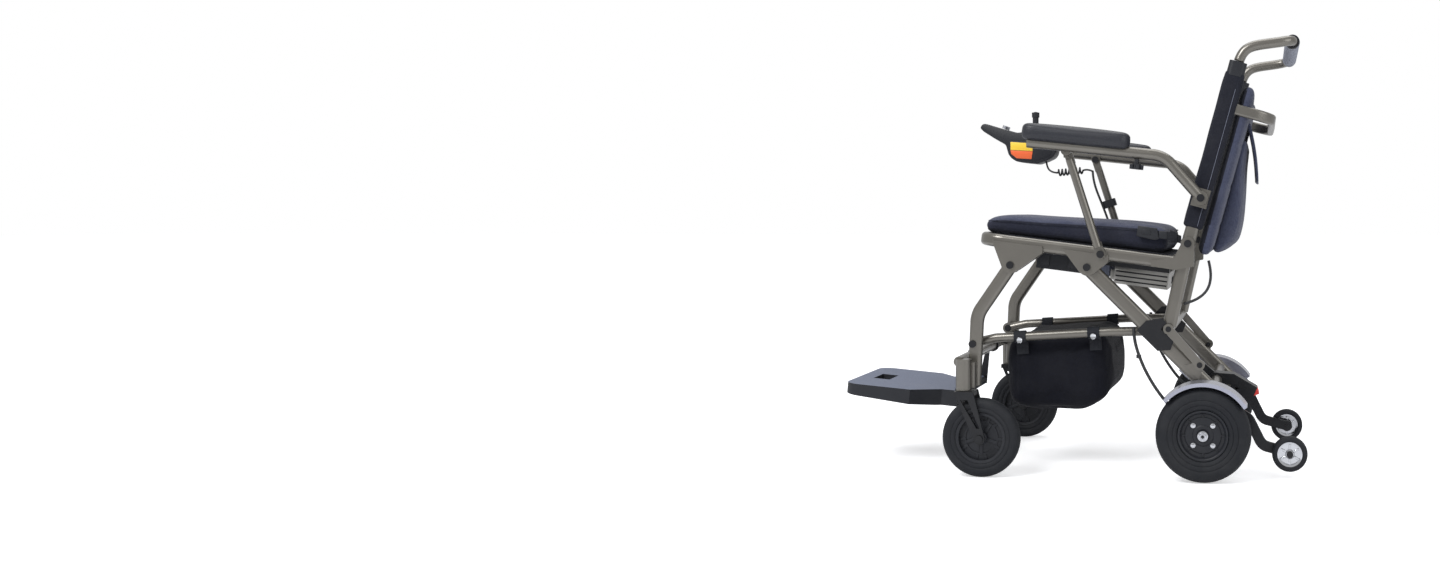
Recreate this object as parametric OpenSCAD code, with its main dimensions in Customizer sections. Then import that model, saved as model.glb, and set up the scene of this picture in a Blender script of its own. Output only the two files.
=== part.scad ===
// Folding power wheelchair, built as its separate pieces.
// X runs rearward, Z up, and -Y is the rider's left. The chair stands unfolded.

/* [Overall] */
// Distance between the two seat rails, centre to centre
seat_width = 420; // [380:5:500]
// Rear wheel diameter
rear_wheel_d = 200; // [180:5:215]
// Caster wheel diameter
caster_d = 168; // [140:4:176]
// Length of the back posts above the back pivot
back_length = 397; // [330:5:480]

/* [Frame] */
// Width of the leg tubes, seen from the side
leg_w = 34; // [28:1:36]
// Thickness of the leg tubes, across the chair
leg_t = 18; // [14:1:20]
// Height of the seat rails
rail_h = 28; // [22:1:30]
// Diameter of the armrest tubes
arm_tube_d = 24; // [20:1:26]
// Diameter of the lower links
link_d = 20; // [16:1:22]
// Diameter of the armrest struts
strut_d = 18; // [14:1:20]
// Diameter of the push handle tube
handle_d = 22; // [18:1:25]

/* [Wheels] */
// Width of the rear tyres
rear_tyre_w = 52; // [44:1:56]
// Width of the caster tyres
caster_tyre_w = 36; // [28:1:40]
// Diameter of the anti-tip wheels
antitip_d = 75; // [60:1:78]
// Diameter of the motor hubs
hub_d = 108; // [90:2:120]

/* [Fits] */
// Diameter of the pivot bolts
bolt_d = 10; // [8:1:12]
// Radial clearance of a turning pin
fit = 0.05; // [0.02:0.01:0.1]
// Gap kept between pieces that pass each other
gap = 1; // [0.5:0.1:2]

/* [Upholstery] */
// Thickness of the seat cushion at the rear
cushion_h = 52; // [40:1:54]
// Thickness of the back pad
pad_t = 28; // [20:1:34]
// Depth of the rear pocket
pocket_depth = 46; // [30:1:60]

/* [Hidden] */
$fn = 48;

// Colours
frame_grey = "#85807a";
silver = "#b9bbc4";
black = "#1b1d22";
navy = "#3c4154";
slate = "#6f7684";
tyre_black = "#2b2e33";

// Wheels and ground. The ground is z = 0 and the rear axle is at x = 0.
rear_r = rear_wheel_d / 2;
caster_r = caster_d / 2;
antitip_r = antitip_d / 2;
hub_r = hub_d / 2;

// Planes across the chair, as distances from its middle
rail_y = seat_width / 2;
leg_room = 3;
rail_w = leg_t + 2 * leg_room;
plate_t = 5;
leg_in = rail_y - leg_t / 2;
leg_out = rail_y + leg_t / 2;
rail_in = rail_y - rail_w / 2;
rail_out = rail_y + rail_w / 2;
gusset_out = rail_out + plate_t;
gusset_in = rail_in - plate_t;
head_h = 5;
head_r = bolt_d / 2 + 3;
axle_plate_t = 6;
axle_plate_out = leg_out + axle_plate_t;
wheel_in = axle_plate_out + 5;
rear_y = wheel_in + rear_tyre_w / 2;
link_y = rail_in - 7 - link_d / 2;
toggle_in = leg_out + 4 + gap / 2;
toggle_t = 5;
strut_y = gusset_out + 2 + strut_d / 2;
arm_y = strut_y + strut_d / 2 - 2 + arm_tube_d / 2;
fork_gap = 3;
fork_t = 5;
caster_y = gusset_out + head_h + gap + caster_tyre_w / 2;

// Pivots, as [x, z]
A = [-415, 450];
B = [-219, 474];
C = [-249, 446];
D = [-34, 497];
E = [-75, 316];
G = [-5, 593];
H = [-290, 694];
K = [-9, 241];
P = [-105, 308];

// Seat plane
rail_front = [-478, 506.3];
rail_rear = [-66, 456];
rail_len = norm(rail_rear - rail_front);
rail_tilt = atan2(rail_front[1] - rail_rear[1], rail_rear[0] - rail_front[0]);
cross_d = 22;
front_cross_x = 287;
rear_cross_x = 389;
sling_z = cross_d / 2;
sling_t = 4;
cushion_front_h = 34;
cushion_len = 401;
cushion_half = rail_in - 13;

// Rear legs
leg_angle = -44.4;
leg_dir = [cos(leg_angle), sin(leg_angle)];
leg_up = [-sin(leg_angle), cos(leg_angle)];
leg_len = 420;
leg_end = C + leg_len * leg_dir;
rear_cross = C + 375 * leg_dir;
rear_cross_d = 25;
rear_axle = [0, rear_r];
axle_d = 12;
antitip_pivot = C + 434 * leg_dir;
antitip_axle = [180, antitip_r + 14];
antitip_w = 22;
antitip_arm_t = 8;
antitip_arm_y = leg_in - 25;
antitip_y = antitip_arm_y + antitip_arm_t / 2 + gap + antitip_w / 2;
cheek_t = 4;

// Front legs and casters
crown_z = caster_d + 6;
crown_t = 9;
housing_z = crown_z + crown_t + 1;
housing_h = 66;
housing_r = 17;
F = [-499, housing_z + housing_h + 29]; // front pivot of the lower links
stem_x = -511;
stem_r = 8;
caster_axle = [-472, caster_r];
front_bend = [-490, 342];
front_foot = [-497, housing_z + 6];
front_bar = [-522, 244];
front_bar_d = 22;
foot_hinge = [-547, 160];
foot_hinge_d = 10;
foot_tilt = 5;
foot_len = 262;
foot_t = 24;
foot_deep = 36;
foot_top = -1;
foot_wedge = atan2(foot_deep - foot_t, foot_len - 60);
foot_half = 150;
neck_half = 96;

// Lower links and bag
link_low = F + [44, 10];
link_high = [-205, 305];
bag_x = [-438, -206];
bag_z = [130, 300];
bag_half = link_y - link_d / 2 - 10;

// Back posts
post_top = D + back_length * [cos(74.5), sin(74.5)];
post_angle = 74.5;
post_w = 30;
sleeve_w = 44;
sleeve_t = 26;
sleeve_low = 34;
pad_w0 = sleeve_w / 2;
pocket_w0 = pad_w0 + pad_t;
hoop_z = 300;
e_bar_d = 22;
handle_rear = [186, post_top[1] + 47];
handle_bend = [112, post_top[1] + 34];
grip_half = 165;

// Armrests, in a frame along the tube
arm_bend = [-82, 681];
arm_front = [-372, 712];
arm_tilt = atan2(arm_front[1] - arm_bend[1], arm_bend[0] - arm_front[0]);
pad_len = 232;
arm_pad_w = 50;
arm_pad_h = 34;

// Joystick pod
pod_half = 31;
pod_y = arm_y;
pod_tilt = 12;
stick_at = [-445, 764];
button_r = 6;
button_h = 4;

// The chair is placed with the middle of its length at x = 0.
foot_tip_x = foot_hinge[0] - foot_len * cos(foot_tilt) - (foot_t - foot_top) * sin(foot_tilt);
rear_end_x = max(antitip_axle[0] + antitip_r, handle_rear[0] + 16);
mid_x = (foot_tip_x + rear_end_x) / 2;

// Cable routes
cable_d = 7;
motor_cable_route = [
    [-150, 0, 318], [-151, -3, 294], [-140, -6, 255], [-120, -6, 212],
    [-92, -5, 170], [-58, -4, 133], [-28, -4, 112], [-7, -4, 103]
];
back_cable_d = 6;
back_cable_route = [
    [8, -186, 460], [13, -187, 440], [14, -189, 415], [2, -193, 388],
    [-22, -198, 374], [-44, -204, 368]
];
joystick_cable_d = 6;
joystick_cable_route = [
    [-416, 248, 687], [-414, 247, 672], [-396, 243, 660], [-368, 236, 664],
    [-340, 229, 668], [-314, 224, 660], [-294, 222, 636], [-277, 222, 596],
    [-260, 222, 552], [-249, 219, 522], [-245, 206, 503], [-248, 192, 488],
    [-260, 172, 472], [-282, 140, 466], [-304, 108, 466]
];

// ---- helpers ----

swell = 1.015;

function unit(v) = v / norm(v);
function at_y(p, y) = [p[0], y, p[1]];
function place(x, y, z, p) = [
    [x[0], y[0], z[0], p[0]],
    [x[1], y[1], z[1], p[1]],
    [x[2], y[2], z[2], p[2]],
    [0, 0, 0, 1]
];
function turn_between(a, b) = acos(min(1, max(-1, a * b)));

// Moves the chair so that its length is centred.
module at_rest() {
    translate([-mid_x, 0, 0]) children();
}

// Left is -1 and right is 1.
module on_side(s) {
    if (s < 0) mirror([0, 1, 0]) children();
    else children();
}

module both_sides() {
    on_side(-1) children();
    on_side(1) children();
}

// A straight bar of the 2D children between two points.
module bar(p, q, side = [0, 1, 0]) {
    u = unit(q - p);
    n = unit(cross(side, u));
    multmatrix(place(n, cross(u, n), u, p)) linear_extrude(norm(q - p)) children();
}

// One bend of the 2D children. It is a trace fatter than the bars that run into it.
module elbow(p, u1, u2, bend) {
    turn = turn_between(u1, u2);
    middle = p + unit(u2 - u1) * bend / cos(turn / 2);
    start = p - u1 * bend * tan(turn / 2);
    x = unit(start - middle);
    multmatrix(place(x, u1, cross(x, u1), middle))
        rotate_extrude(angle = turn) translate([bend, 0]) scale(swell) children();
}

// A bent tube of the 2D children along the points.
module bent(pts, bend, side = [0, 1, 0]) {
    last = len(pts) - 1;
    dirs = [for (i = [0 : last - 1]) unit(pts[i + 1] - pts[i])];
    cut = [
        for (i = [0 : last])
            i == 0 || i == last ? 0 : bend * tan(turn_between(dirs[i - 1], dirs[i]) / 2)
    ];
    lap = [for (i = [0 : last]) i == 0 || i == last ? 0 : 1.5];
    for (i = [0 : last - 1])
        bar(
            pts[i] + dirs[i] * (cut[i] - lap[i]),
            pts[i + 1] - dirs[i] * (cut[i + 1] - lap[i + 1]),
            side
        ) children();
    for (i = [1 : 1 : last - 1])
        elbow(pts[i], dirs[i - 1], dirs[i], bend) children();
}

// Flat oval section, w along x and t along y.
module flat_oval(w, t) {
    square([w - t, t], center = true);
    translate([(w - t) / 2, 0]) circle(d = t);
    translate([(t - w) / 2, 0]) circle(d = t);
}

// Rounded rectangle section.
module rounded(w, h, r) {
    square([w - 2 * r, h], center = true);
    square([w, h - 2 * r], center = true);
    for (i = [-1, 1], j = [-1, 1])
        translate([i * (w / 2 - r), j * (h / 2 - r)]) circle(r);
}

// A disc across the chair, at pivot p from y0 to y1.
module pin(p, r, y0, y1) {
    translate([p[0], y0, p[1]]) rotate([-90, 0, 0]) cylinder(r = r, h = y1 - y0);
}

// A plate with the side outline in the 2D children, from y0 to y1.
module plate(y0, y1) {
    translate([0, y1, 0]) rotate([90, 0, 0]) linear_extrude(y1 - y0) children();
}

// Frames of the tilted assemblies
module in_seat() {
    translate([rail_front[0], 0, rail_front[1]]) rotate([0, rail_tilt, 0]) children();
}

module in_leg() {
    translate([C[0], 0, C[1]]) rotate([0, -leg_angle, 0]) children();
}

module in_back() {
    translate([D[0], 0, D[1]]) rotate([0, 90 - post_angle, 0]) children();
}

module in_arm() {
    translate([arm_front[0], 0, arm_front[1]]) rotate([0, arm_tilt, 0]) children();
}

module in_foot() {
    translate([foot_hinge[0], 0, foot_hinge[1]]) rotate([0, foot_tilt, 0]) children();
}

// A round cable as one closed skin along smooth points.
function smooth(p, n) = [
    for (i = [0 : len(p) - 2], k = [0 : n - 1])
        let (
            t = k / n,
            a = p[max(0, i - 1)],
            b = p[i],
            c = p[i + 1],
            d = p[min(len(p) - 1, i + 2)]
        )
        0.5 * (2 * b + (c - a) * t + (2 * a - 5 * b + 4 * c - d) * t * t
            + (3 * b - 3 * c + d - a) * t * t * t),
    p[len(p) - 1]
];
function rings(path, r, sides, across) = [
    for (i = [0 : len(path) - 1])
        let (
            u = unit(path[min(len(path) - 1, i + 1)] - path[max(0, i - 1)]),
            n = unit(cross(across, u)),
            b = cross(u, n)
        )
        for (k = [0 : sides - 1])
            path[i] + r * (cos(360 * k / sides) * n + sin(360 * k / sides) * b)
];

module cable(route, d, steps = 2, across = [0, 1, 0], sides = 8) {
    path = smooth(route, steps);
    n = len(path);
    polyhedron(
        points = rings(path, d / 2, sides, across),
        faces = concat(
            [[for (k = [0 : sides - 1]) k]],
            [[for (k = [sides - 1 : -1 : 0]) (n - 1) * sides + k]],
            [
                for (i = [0 : n - 2], k = [0 : sides - 1])
                    [
                        i * sides + k,
                        (i + 1) * sides + k,
                        (i + 1) * sides + (k + 1) % sides,
                        i * sides + (k + 1) % sides
                    ]
            ]
        )
    );
}

// ---- seat ----

module gusset_outlines() {
    polygon([[-455, 503], [-433, 444], [-400, 438], [-345, 476], [-345, 490]]);
    translate(A) circle(18);
    polygon([[-302, 485], [-264, 434], [-236, 431], [-203, 458], [-203, 472]]);
    translate(C) circle(18);
    translate(B) circle(14);
    polygon([[-112, 461], [-112, 449], [-60, 441], [-22, 448], [-20, 497], [-48, 497], [-64, 466]]);
    translate(D) circle(14);
}

module seat_rails() {
    u_turn = 45;
    in_seat()
        bent(
            [
                [rail_len, -rail_y, 0],
                [0, -rail_y, 0],
                [0, rail_y, 0],
                [rail_len, rail_y, 0]
            ],
            u_turn,
            [0, 0, 1]
        ) rounded(rail_w, rail_h, 9);
}

module seat_frame() {
    color(frame_grey) difference() {
        union() {
            seat_rails();
            in_seat() for (x = [front_cross_x, rear_cross_x])
                pin([x, 0], cross_d / 2, -rail_y, rail_y);
            both_sides() {
                plate(rail_out - 1, gusset_out) gusset_outlines();
                plate(gusset_in, rail_in + 1) gusset_outlines();
            }
        }
        for (p = [A, C, D])
            pin(p, bolt_d / 2 + fit, -gusset_out - 1, gusset_out + 1);
        pin(B, bolt_d / 2 + fit, -gusset_out - 1, gusset_out + 1);
    }
}

module seat_sling() {
    y = cushion_half;
    color(black) in_seat() {
        translate([48, -y, sling_z]) cube([rear_cross_x - 32, 2 * y, sling_t]);
        translate([16, -y + 26, sling_z]) cube([40, 2 * y - 52, sling_t]);
    }
}

module seat_cushion() {
    base = sling_z + sling_t;
    nose = 14;
    color(navy) in_seat()
        plate(-cushion_half, cushion_half) {
            polygon([
                [nose - 8, base],
                [cushion_len, base],
                [cushion_len, base + cushion_h - 12],
                [cushion_len - 14, base + cushion_h],
                [60, base + cushion_front_h + 3],
                [nose - 8, base + cushion_front_h - 6]
            ]);
            translate([nose - 8, base + nose]) circle(nose);
        }
}

// Strap end and buckle, standing between the cushion and the left back post.
module lap_belt() {
    y0 = -cushion_half - 9.5;
    color(black) {
        plate(y0, y0 + 9) polygon([[-146, 510], [-66, 500], [-66, 520], [-146, 536]]);
        plate(y0 + 3, y0 + 6) polygon([[-66, 502], [-50, 496], [-50, 513], [-66, 518]]);
    }
}

module power_module() {
    color(black) in_seat() translate([105, -105, -54]) cube([102, 210, 54 + sling_z]);
}

module junction_box() {
    color("#34373d") in_seat() translate([211, -80, -56]) difference() {
        cube([56, 160, 56 + sling_z]);
        translate([30, 158, 20]) cube([16, 4, 16]);
    }
}

module battery_case() {
    color(silver) in_seat() {
        translate([285, -140, -64]) cube([120, 280, 64 - 27]);
        for (y = [-110, 110]) translate([275, y - 14, -58]) cube([10, 28, 22]);
    }
}

module battery_rails() {
    color(black) in_seat() difference() {
        for (s = [-1, 1])
            translate([265, s * 138 - 8, -27]) cube([140, 16, 22]);
        for (x = [front_cross_x, rear_cross_x]) pin([x, 0], cross_d / 2, -200, 200);
    }
}

// Bolt with a head on the outer side and a nut on the inner side.
module pivot_bolt(p, inner, outer, r = bolt_d / 2) {
    pin(p, r, inner - head_h, outer + head_h);
    pin(p, r + 3, outer, outer + head_h);
    pin(p, r + 3, inner - head_h, inner);
}

module seat_pivot_bolts() {
    color(black) both_sides() {
        for (p = [A, C, D]) pivot_bolt(p, gusset_in, gusset_out);
        pivot_bolt(B, gusset_in, strut_y - strut_d / 2 + 6);
    }
}

// ---- rear frame ----

module leg_bar(t0, t1, w = leg_w) {
    bar(at_y(C + t0 * leg_dir, rail_y), at_y(C + t1 * leg_dir, rail_y)) flat_oval(w, leg_t);
}

module axle_plate_outline() {
    hub = 20;
    polygon([
        [rear_cross[0] - 14, rear_cross[1] + 14],
        leg_end + 12 * leg_up - 6 * leg_dir,
        leg_end - 14 * leg_up,
        [rear_axle[0] + hub * 0.8, rear_axle[1] - hub * 0.6],
        [rear_axle[0] - hub * 0.6, rear_axle[1] - hub * 0.8],
        [rear_axle[0] - hub, rear_axle[1]]
    ]);
    translate(rear_axle) circle(hub);
}

module toggle_lug_outline() {
    translate(K) circle(10);
    polygon([
        K - 9 * leg_dir,
        K + 9 * leg_dir,
        K + 22 * leg_dir - 24 * leg_up,
        K - 22 * leg_dir - 24 * leg_up
    ]);
}

module rear_frame() {
    color(frame_grey) difference() {
        union() {
            both_sides() {
                leg_bar(0, leg_len);
                pin(C, leg_w / 2 + 0.7, leg_in - 0.5, leg_out + 0.5);
                pin(leg_end, leg_w / 2 + 1, leg_in - 1, leg_out + 0.5);
                plate(leg_out, axle_plate_out) axle_plate_outline();
                plate(leg_out, leg_out + cheek_t) toggle_lug_outline();
            }
            pin(rear_cross, rear_cross_d / 2, -leg_in - 1, leg_in + 1);
        }
        pin(C, bolt_d / 2 + fit, -leg_out - 1, leg_out + 1);
        pin(antitip_pivot, bolt_d / 2 + fit, -leg_out - 9, leg_out + 9);
        pin(K, bolt_d / 2 + fit, -leg_out - 9, leg_out + 9);
        pin(rear_axle, axle_d / 2, -leg_out - 9, leg_out + 9);
    }
}

// Saddle on each rear leg, where the lower bar of the back comes to rest.
module cheek() {
    t = (E - C) * leg_dir;
    d = (E - C) * leg_up;
    rest = d - e_bar_d / 2 - 0.5;
    wall = t - e_bar_d / 2 - 0.5;
    in_leg() polygon_in_leg([
        [t - 46, -leg_w / 2 - 4],
        [t + 16, -leg_w / 2 - 4],
        [t + 34, 0],
        [t + 26, rest],
        [wall, rest],
        [wall, d + 6],
        [t - 24, d + 6],
        [t - 46, 8]
    ]);
}

module polygon_in_leg(pts) {
    rotate([90, 0, 0]) linear_extrude(cheek_t) polygon(pts);
}

module latch_cradles() {
    t = (E - C) * leg_dir;
    color(black) both_sides() {
        translate([0, leg_in, 0]) cheek();
        translate([0, leg_out + cheek_t, 0]) cheek();
        in_leg() translate([t - 40, leg_in - 1, -leg_w / 2 - 4])
            cube([50, leg_t + 2, 4]);
    }
}

module fender_shell() {
    r_out = rear_r + 10.5;
    skin = 3;
    inner = axle_plate_out;
    outer = rear_y + rear_tyre_w / 2 + 3;
    flange = rear_r - 22;
    translate([rear_axle[0], 0, rear_axle[1]])
        rotate([90, 0, 0]) rotate([0, 0, 34]) rotate_extrude(angle = 104) {
            translate([r_out - skin, -outer]) square([skin, outer - inner]);
            translate([flange, -inner - 2.5]) square([r_out - flange, 2.5]);
            translate([r_out - skin - 5, -outer]) square([5 + skin, 2.5]);
        }
}

module fenders() {
    color(silver) both_sides() fender_shell();
}

module motor_stators() {
    inner = axle_plate_out;
    out = rear_y + rear_tyre_w / 2;
    color("#8d9096") both_sides() {
        pin(rear_axle, axle_d / 2, leg_out - 8, out + 6);
        pin(rear_axle, 30, rear_y - 10, rear_y + 12);
        pin(rear_axle, 9, leg_out - 7, leg_out);
        pin(rear_axle, 9, axle_plate_out, wheel_in - 0.5);
        pin(rear_axle, 9, out - 6, out + 4);
    }
}

module motor_cables() {
    color(black) both_sides()
        translate([0, rail_y, 0]) cable(motor_cable_route, cable_d, 3);
}

module release_pedal() {
    hub_r = rear_cross_d / 2 + 5;
    color(black) difference() {
        union() {
            pin(rear_cross, hub_r, -24, 24);
            plate(-22, 22) polygon([
                rear_cross + [2, hub_r - 1],
                rear_cross + [40, 14],
                rear_cross + [92, -16],
                rear_cross + [96, -30],
                rear_cross + [84, -34],
                rear_cross + [40, -8],
                rear_cross + [4, -12]
            ]);
            plate(-8, 8) polygon([
                rear_cross + [-4, hub_r - 1],
                rear_cross + [-40, 46],
                rear_cross + [-48, 38],
                rear_cross + [-16, 2]
            ]);
        }
        pin(rear_cross, rear_cross_d / 2 + fit, -30, 30);
    }
}

module rear_tyre() {
    shoulder = 12;
    w = rear_tyre_w;
    color(tyre_black) translate([0, rear_y, rear_axle[1]]) rotate([90, 0, 0])
        rotate_extrude($fn = 96) {
            translate([hub_r, -w / 2 + 4]) square([rear_r - hub_r - shoulder, w - 8]);
            translate([hub_r + 8, -w / 2]) square([rear_r - hub_r - shoulder - 8, w]);
            translate([hub_r, -w / 2 + shoulder]) square([rear_r - hub_r, w - 2 * shoulder]);
            for (s = [-1, 1])
                translate([rear_r - shoulder, s * (w / 2 - shoulder)]) circle(shoulder);
        }
}

module rear_hub() {
    w = rear_tyre_w - 8;
    dish = 9;
    color(black) translate([0, rear_y, rear_axle[1]]) rotate([90, 0, 0]) difference() {
        cylinder(r = hub_r, h = w, center = true);
        translate([0, 0, -w / 2 - 1]) cylinder(r = hub_r - 8, h = dish + 1);
        translate([0, 0, -13]) cylinder(r = 32, h = 24);
        cylinder(r = 9 + 0.5, h = 2 * w, center = true);
    }
}

module antitip_arm() {
    w = 22;
    half = antitip_arm_t / 2;
    path = [
        at_y(antitip_pivot, antitip_arm_y),
        [94, antitip_arm_y, 122],
        [122, antitip_arm_y, 66],
        at_y(antitip_axle, antitip_arm_y)
    ];
    color(black) difference() {
        union() {
            bent(path, 26) square([w, antitip_arm_t], center = true);
            pin(antitip_pivot, 15, antitip_arm_y - half - 0.4, leg_in - gap);
            pin(antitip_axle, 12.5, antitip_arm_y - half - 0.4, antitip_arm_y + half + 0.4);
            pin(antitip_axle, 4, antitip_arm_y - 7, antitip_y + antitip_w / 2 + 3);
            pin(antitip_axle, 7, antitip_y + antitip_w / 2 + 0.5, antitip_y + antitip_w / 2 + 3.5);
        }
        pin(antitip_pivot, bolt_d / 2 + fit, antitip_arm_y - 20, leg_in + 2);
    }
}

module antitip_wheel() {
    w = antitip_w;
    color(tyre_black) translate([antitip_axle[0], antitip_y, antitip_axle[1]])
        rotate([90, 0, 0]) difference() {
            rotate_extrude() {
                translate([0, -w / 2]) square([antitip_r - 6, w]);
                translate([0, -w / 2 + 6]) square([antitip_r, w - 12]);
                for (s = [-1, 1])
                    translate([antitip_r - 6, s * (w / 2 - 6)]) circle(6);
            }
            for (s = [-1, 1])
                translate([0, 0, s * w / 2]) cylinder(r = antitip_r - 13, h = 6, center = true);
            cylinder(r = 4 + fit, h = 2 * w, center = true);
        }
}

// Short link from the rear leg to the foot of the back post.
module toggle_link() {
    outer = toggle_in + toggle_t;
    color(frame_grey) {
        bar(at_y(K, toggle_in + toggle_t / 2), at_y(E, toggle_in + toggle_t / 2))
            square([18, toggle_t], center = true);
        for (p = [K, E]) {
            pin(p, 11, toggle_in - 0.2, outer + 0.2);
            pin(p, 6, outer - 1, outer + 2);
        }
        pin(K, bolt_d / 2, leg_in + 2, toggle_in + 1);
    }
}

// ---- front frame ----

module front_frame() {
    leg_path = [at_y(A, rail_y), at_y(front_bend, rail_y), at_y(front_foot, rail_y)];
    w = leg_w - 4;
    color(frame_grey) difference() {
        union() {
            both_sides() {
                bent(leg_path, 60) flat_oval(w, leg_t);
                pin(A, w / 2 + 1, leg_in - 0.5, leg_out + 0.5);
                pin(F, 11, link_y + link_d / 2 + gap + 1, leg_in + 1);
                translate([stem_x, caster_y, housing_z]) cylinder(r = housing_r, h = housing_h);
                translate([stem_x, leg_out - 4, housing_z + 4])
                    cube([-stem_x + front_foot[0] + 9, caster_y - leg_out, housing_h - 12]);
            }
            pin(front_bar, front_bar_d / 2, -caster_y, caster_y);
        }
        pin(A, bolt_d / 2 + fit, -leg_out - 1, leg_out + 1);
        both_sides() {
            translate([stem_x, caster_y, housing_z - 1])
                cylinder(r = stem_r + fit, h = housing_h - 5);
            pin(F, bolt_d / 2, link_y, leg_out + 1);
        }
    }
}

// Two arms that carry the footplate hinge.
module footplate_bracket() {
    inner = neck_half + gap;
    outer = inner + 8;
    color(black) {
        both_sides() difference() {
            plate(inner, outer) {
                polygon([
                    front_bar + [-13, 6],
                    front_bar + [-8, -14],
                    foot_hinge + [10, -8],
                    foot_hinge + [-10, 4],
                    foot_hinge + [-6, 10]
                ]);
                translate(foot_hinge) circle(11);
                translate(front_bar) circle(front_bar_d / 2 + 4);
            }
            pin(front_bar, front_bar_d / 2, inner - 1, outer + 1);
        }
        pin(foot_hinge, foot_hinge_d / 2, -outer - 3, outer + 3);
        both_sides() pin(foot_hinge, foot_hinge_d / 2 + 3, outer, outer + 4);
    }
}

module foot_outline() {
    tip_r = 34;
    neck_len = 50;
    shoulder = neck_len + 60;
    translate([-neck_len - 10, -neck_half]) square([neck_len - 4, 2 * neck_half]);
    polygon([
        [-neck_len, -neck_half],
        [-shoulder, -foot_half],
        [-foot_len + tip_r, -foot_half],
        [-foot_len, -foot_half + tip_r],
        [-foot_len, foot_half - tip_r],
        [-foot_len + tip_r, foot_half],
        [-shoulder, foot_half],
        [-neck_len, neck_half]
    ]);
    for (s = [-1, 1])
        translate([-foot_len + tip_r, s * (foot_half - tip_r)]) circle(tip_r);
}

// Wedge-shaped plate, thicker at its hinge than at its tip.
module footplate() {
    color(slate) difference() {
        union() {
            in_foot() difference() {
                translate([0, 0, foot_top - foot_deep / 2])
                    linear_extrude(foot_deep, center = true) foot_outline();
                translate([-foot_len, 0, foot_top - foot_t]) rotate([0, foot_wedge, 0])
                    translate([-40, -foot_half - 10, -60]) cube([foot_len + 20, 2 * foot_half + 20, 60]);
            }
            pin(foot_hinge, 11, -neck_half, neck_half);
            in_foot() translate([-20, -neck_half, -9]) cube([14, 2 * neck_half, 13]);
        }
        pin(foot_hinge, foot_hinge_d / 2 + fit, -neck_half - 1, neck_half + 1);
        in_foot() translate([-foot_len + 34, -38, -foot_deep]) cube([38, 76, 2 * foot_deep]);
    }
}

module fork_blade_outline() {
    polygon([
        [stem_x - 16, crown_z + crown_t],
        [stem_x + 26, crown_z + crown_t],
        caster_axle + [11, 4],
        caster_axle + [9, -7],
        caster_axle + [-9, -7]
    ]);
    translate(caster_axle) circle(12);
}

module fork_window() {
    polygon([
        [stem_x - 2, crown_z - 8],
        [stem_x + 14, crown_z - 8],
        caster_axle + [1, 22],
        caster_axle + [-6, 22]
    ]);
}

module caster_fork() {
    inner = caster_tyre_w / 2 + fork_gap;
    color(black) translate([0, caster_y, 0]) {
        difference() {
            union() {
                for (s = [-1, 1])
                    plate(s < 0 ? -inner - fork_t : inner, s < 0 ? -inner : inner + fork_t)
                        difference() {
                            fork_blade_outline();
                            fork_window();
                        }
                translate([stem_x - 16, -inner - fork_t, crown_z])
                    cube([42, 2 * (inner + fork_t), crown_t]);
            }
        }
        translate([stem_x, 0, crown_z]) cylinder(r = stem_r, h = housing_h + crown_t - 8);
        pin(caster_axle, 5, -inner - fork_t - 1, inner + fork_t + 3);
        pin(caster_axle, 8, inner + fork_t, inner + fork_t + 4);
        pin(caster_axle, 8, -inner - fork_t - 1.5, -inner - fork_t + 1);
    }
}

module caster_rim() {
    rim_r = caster_r - 30;
    w = caster_tyre_w - 6;
    color(black) translate([caster_axle[0], caster_y, caster_axle[1]])
        rotate([90, 0, 0]) difference() {
            union() {
                difference() {
                    cylinder(r = rim_r, h = w, center = true);
                    cylinder(r = rim_r - 6, h = 2 * w, center = true);
                }
                cylinder(r = 14, h = caster_tyre_w, center = true);
                for (i = [0 : 4]) rotate([0, 0, 72 * i])
                    translate([10, -5, -w / 4]) cube([rim_r - 14, 10, w / 2]);
            }
            cylinder(r = 5 + fit, h = 3 * w, center = true);
        }
}

module caster_tyre() {
    rim_r = caster_r - 30;
    shoulder = 10;
    w = caster_tyre_w;
    color(tyre_black) translate([caster_axle[0], caster_y, caster_axle[1]])
        rotate([90, 0, 0]) rotate_extrude($fn = 96) {
            translate([rim_r, -w / 2 + 3]) square([30 - shoulder, w - 6]);
            translate([rim_r + 6, -w / 2]) square([24 - shoulder, w]);
            translate([rim_r, -w / 2 + shoulder]) square([30, w - 2 * shoulder]);
            for (s = [-1, 1])
                translate([caster_r - shoulder, s * (w / 2 - shoulder)]) circle(shoulder);
        }
}

// ---- lower links and bag ----

module lower_link() {
    path = [at_y(F, link_y), at_y(link_low, link_y), at_y(link_high, link_y), at_y(P, link_y)];
    half = link_d / 2;
    bent(path, 60) circle(d = link_d);
    for (p = [F, P]) {
        pin(p, half + 3, link_y - half + 2, link_y + half - 2);
        pin(p, head_r, link_y - half - 2, link_y);
    }
    pin(F, bolt_d / 2 - fit, link_y, leg_out + 1);
    pin(F, head_r, leg_out + gap / 2, leg_out + 4);
}

module lower_links() {
    color(frame_grey) both_sides() lower_link();
}

module storage_bag() {
    color("#12141c") plate(-bag_half, bag_half) polygon([
        [bag_x[0], bag_z[1] - 14],
        [bag_x[0] + 6, bag_z[1] - 6],
        [bag_x[1] - 6, bag_z[1]],
        [bag_x[1] + 2, bag_z[1] - 60],
        [bag_x[1] - 4, bag_z[0] + 56],
        [bag_x[1] - 30, bag_z[0] + 12],
        [bag_x[1] - 70, bag_z[0]],
        [bag_x[0] + 12, bag_z[0] + 8]
    ]);
}

strap_x = [bag_x[0] + 37, bag_x[1] - 34];
link_rise = atan2(link_high[1] - link_low[1], link_high[0] - link_low[0]);
function link_z(x) = link_low[1] + (x - link_low[0]) * (link_high[1] - link_low[1])
    / (link_high[0] - link_low[0]);

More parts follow.
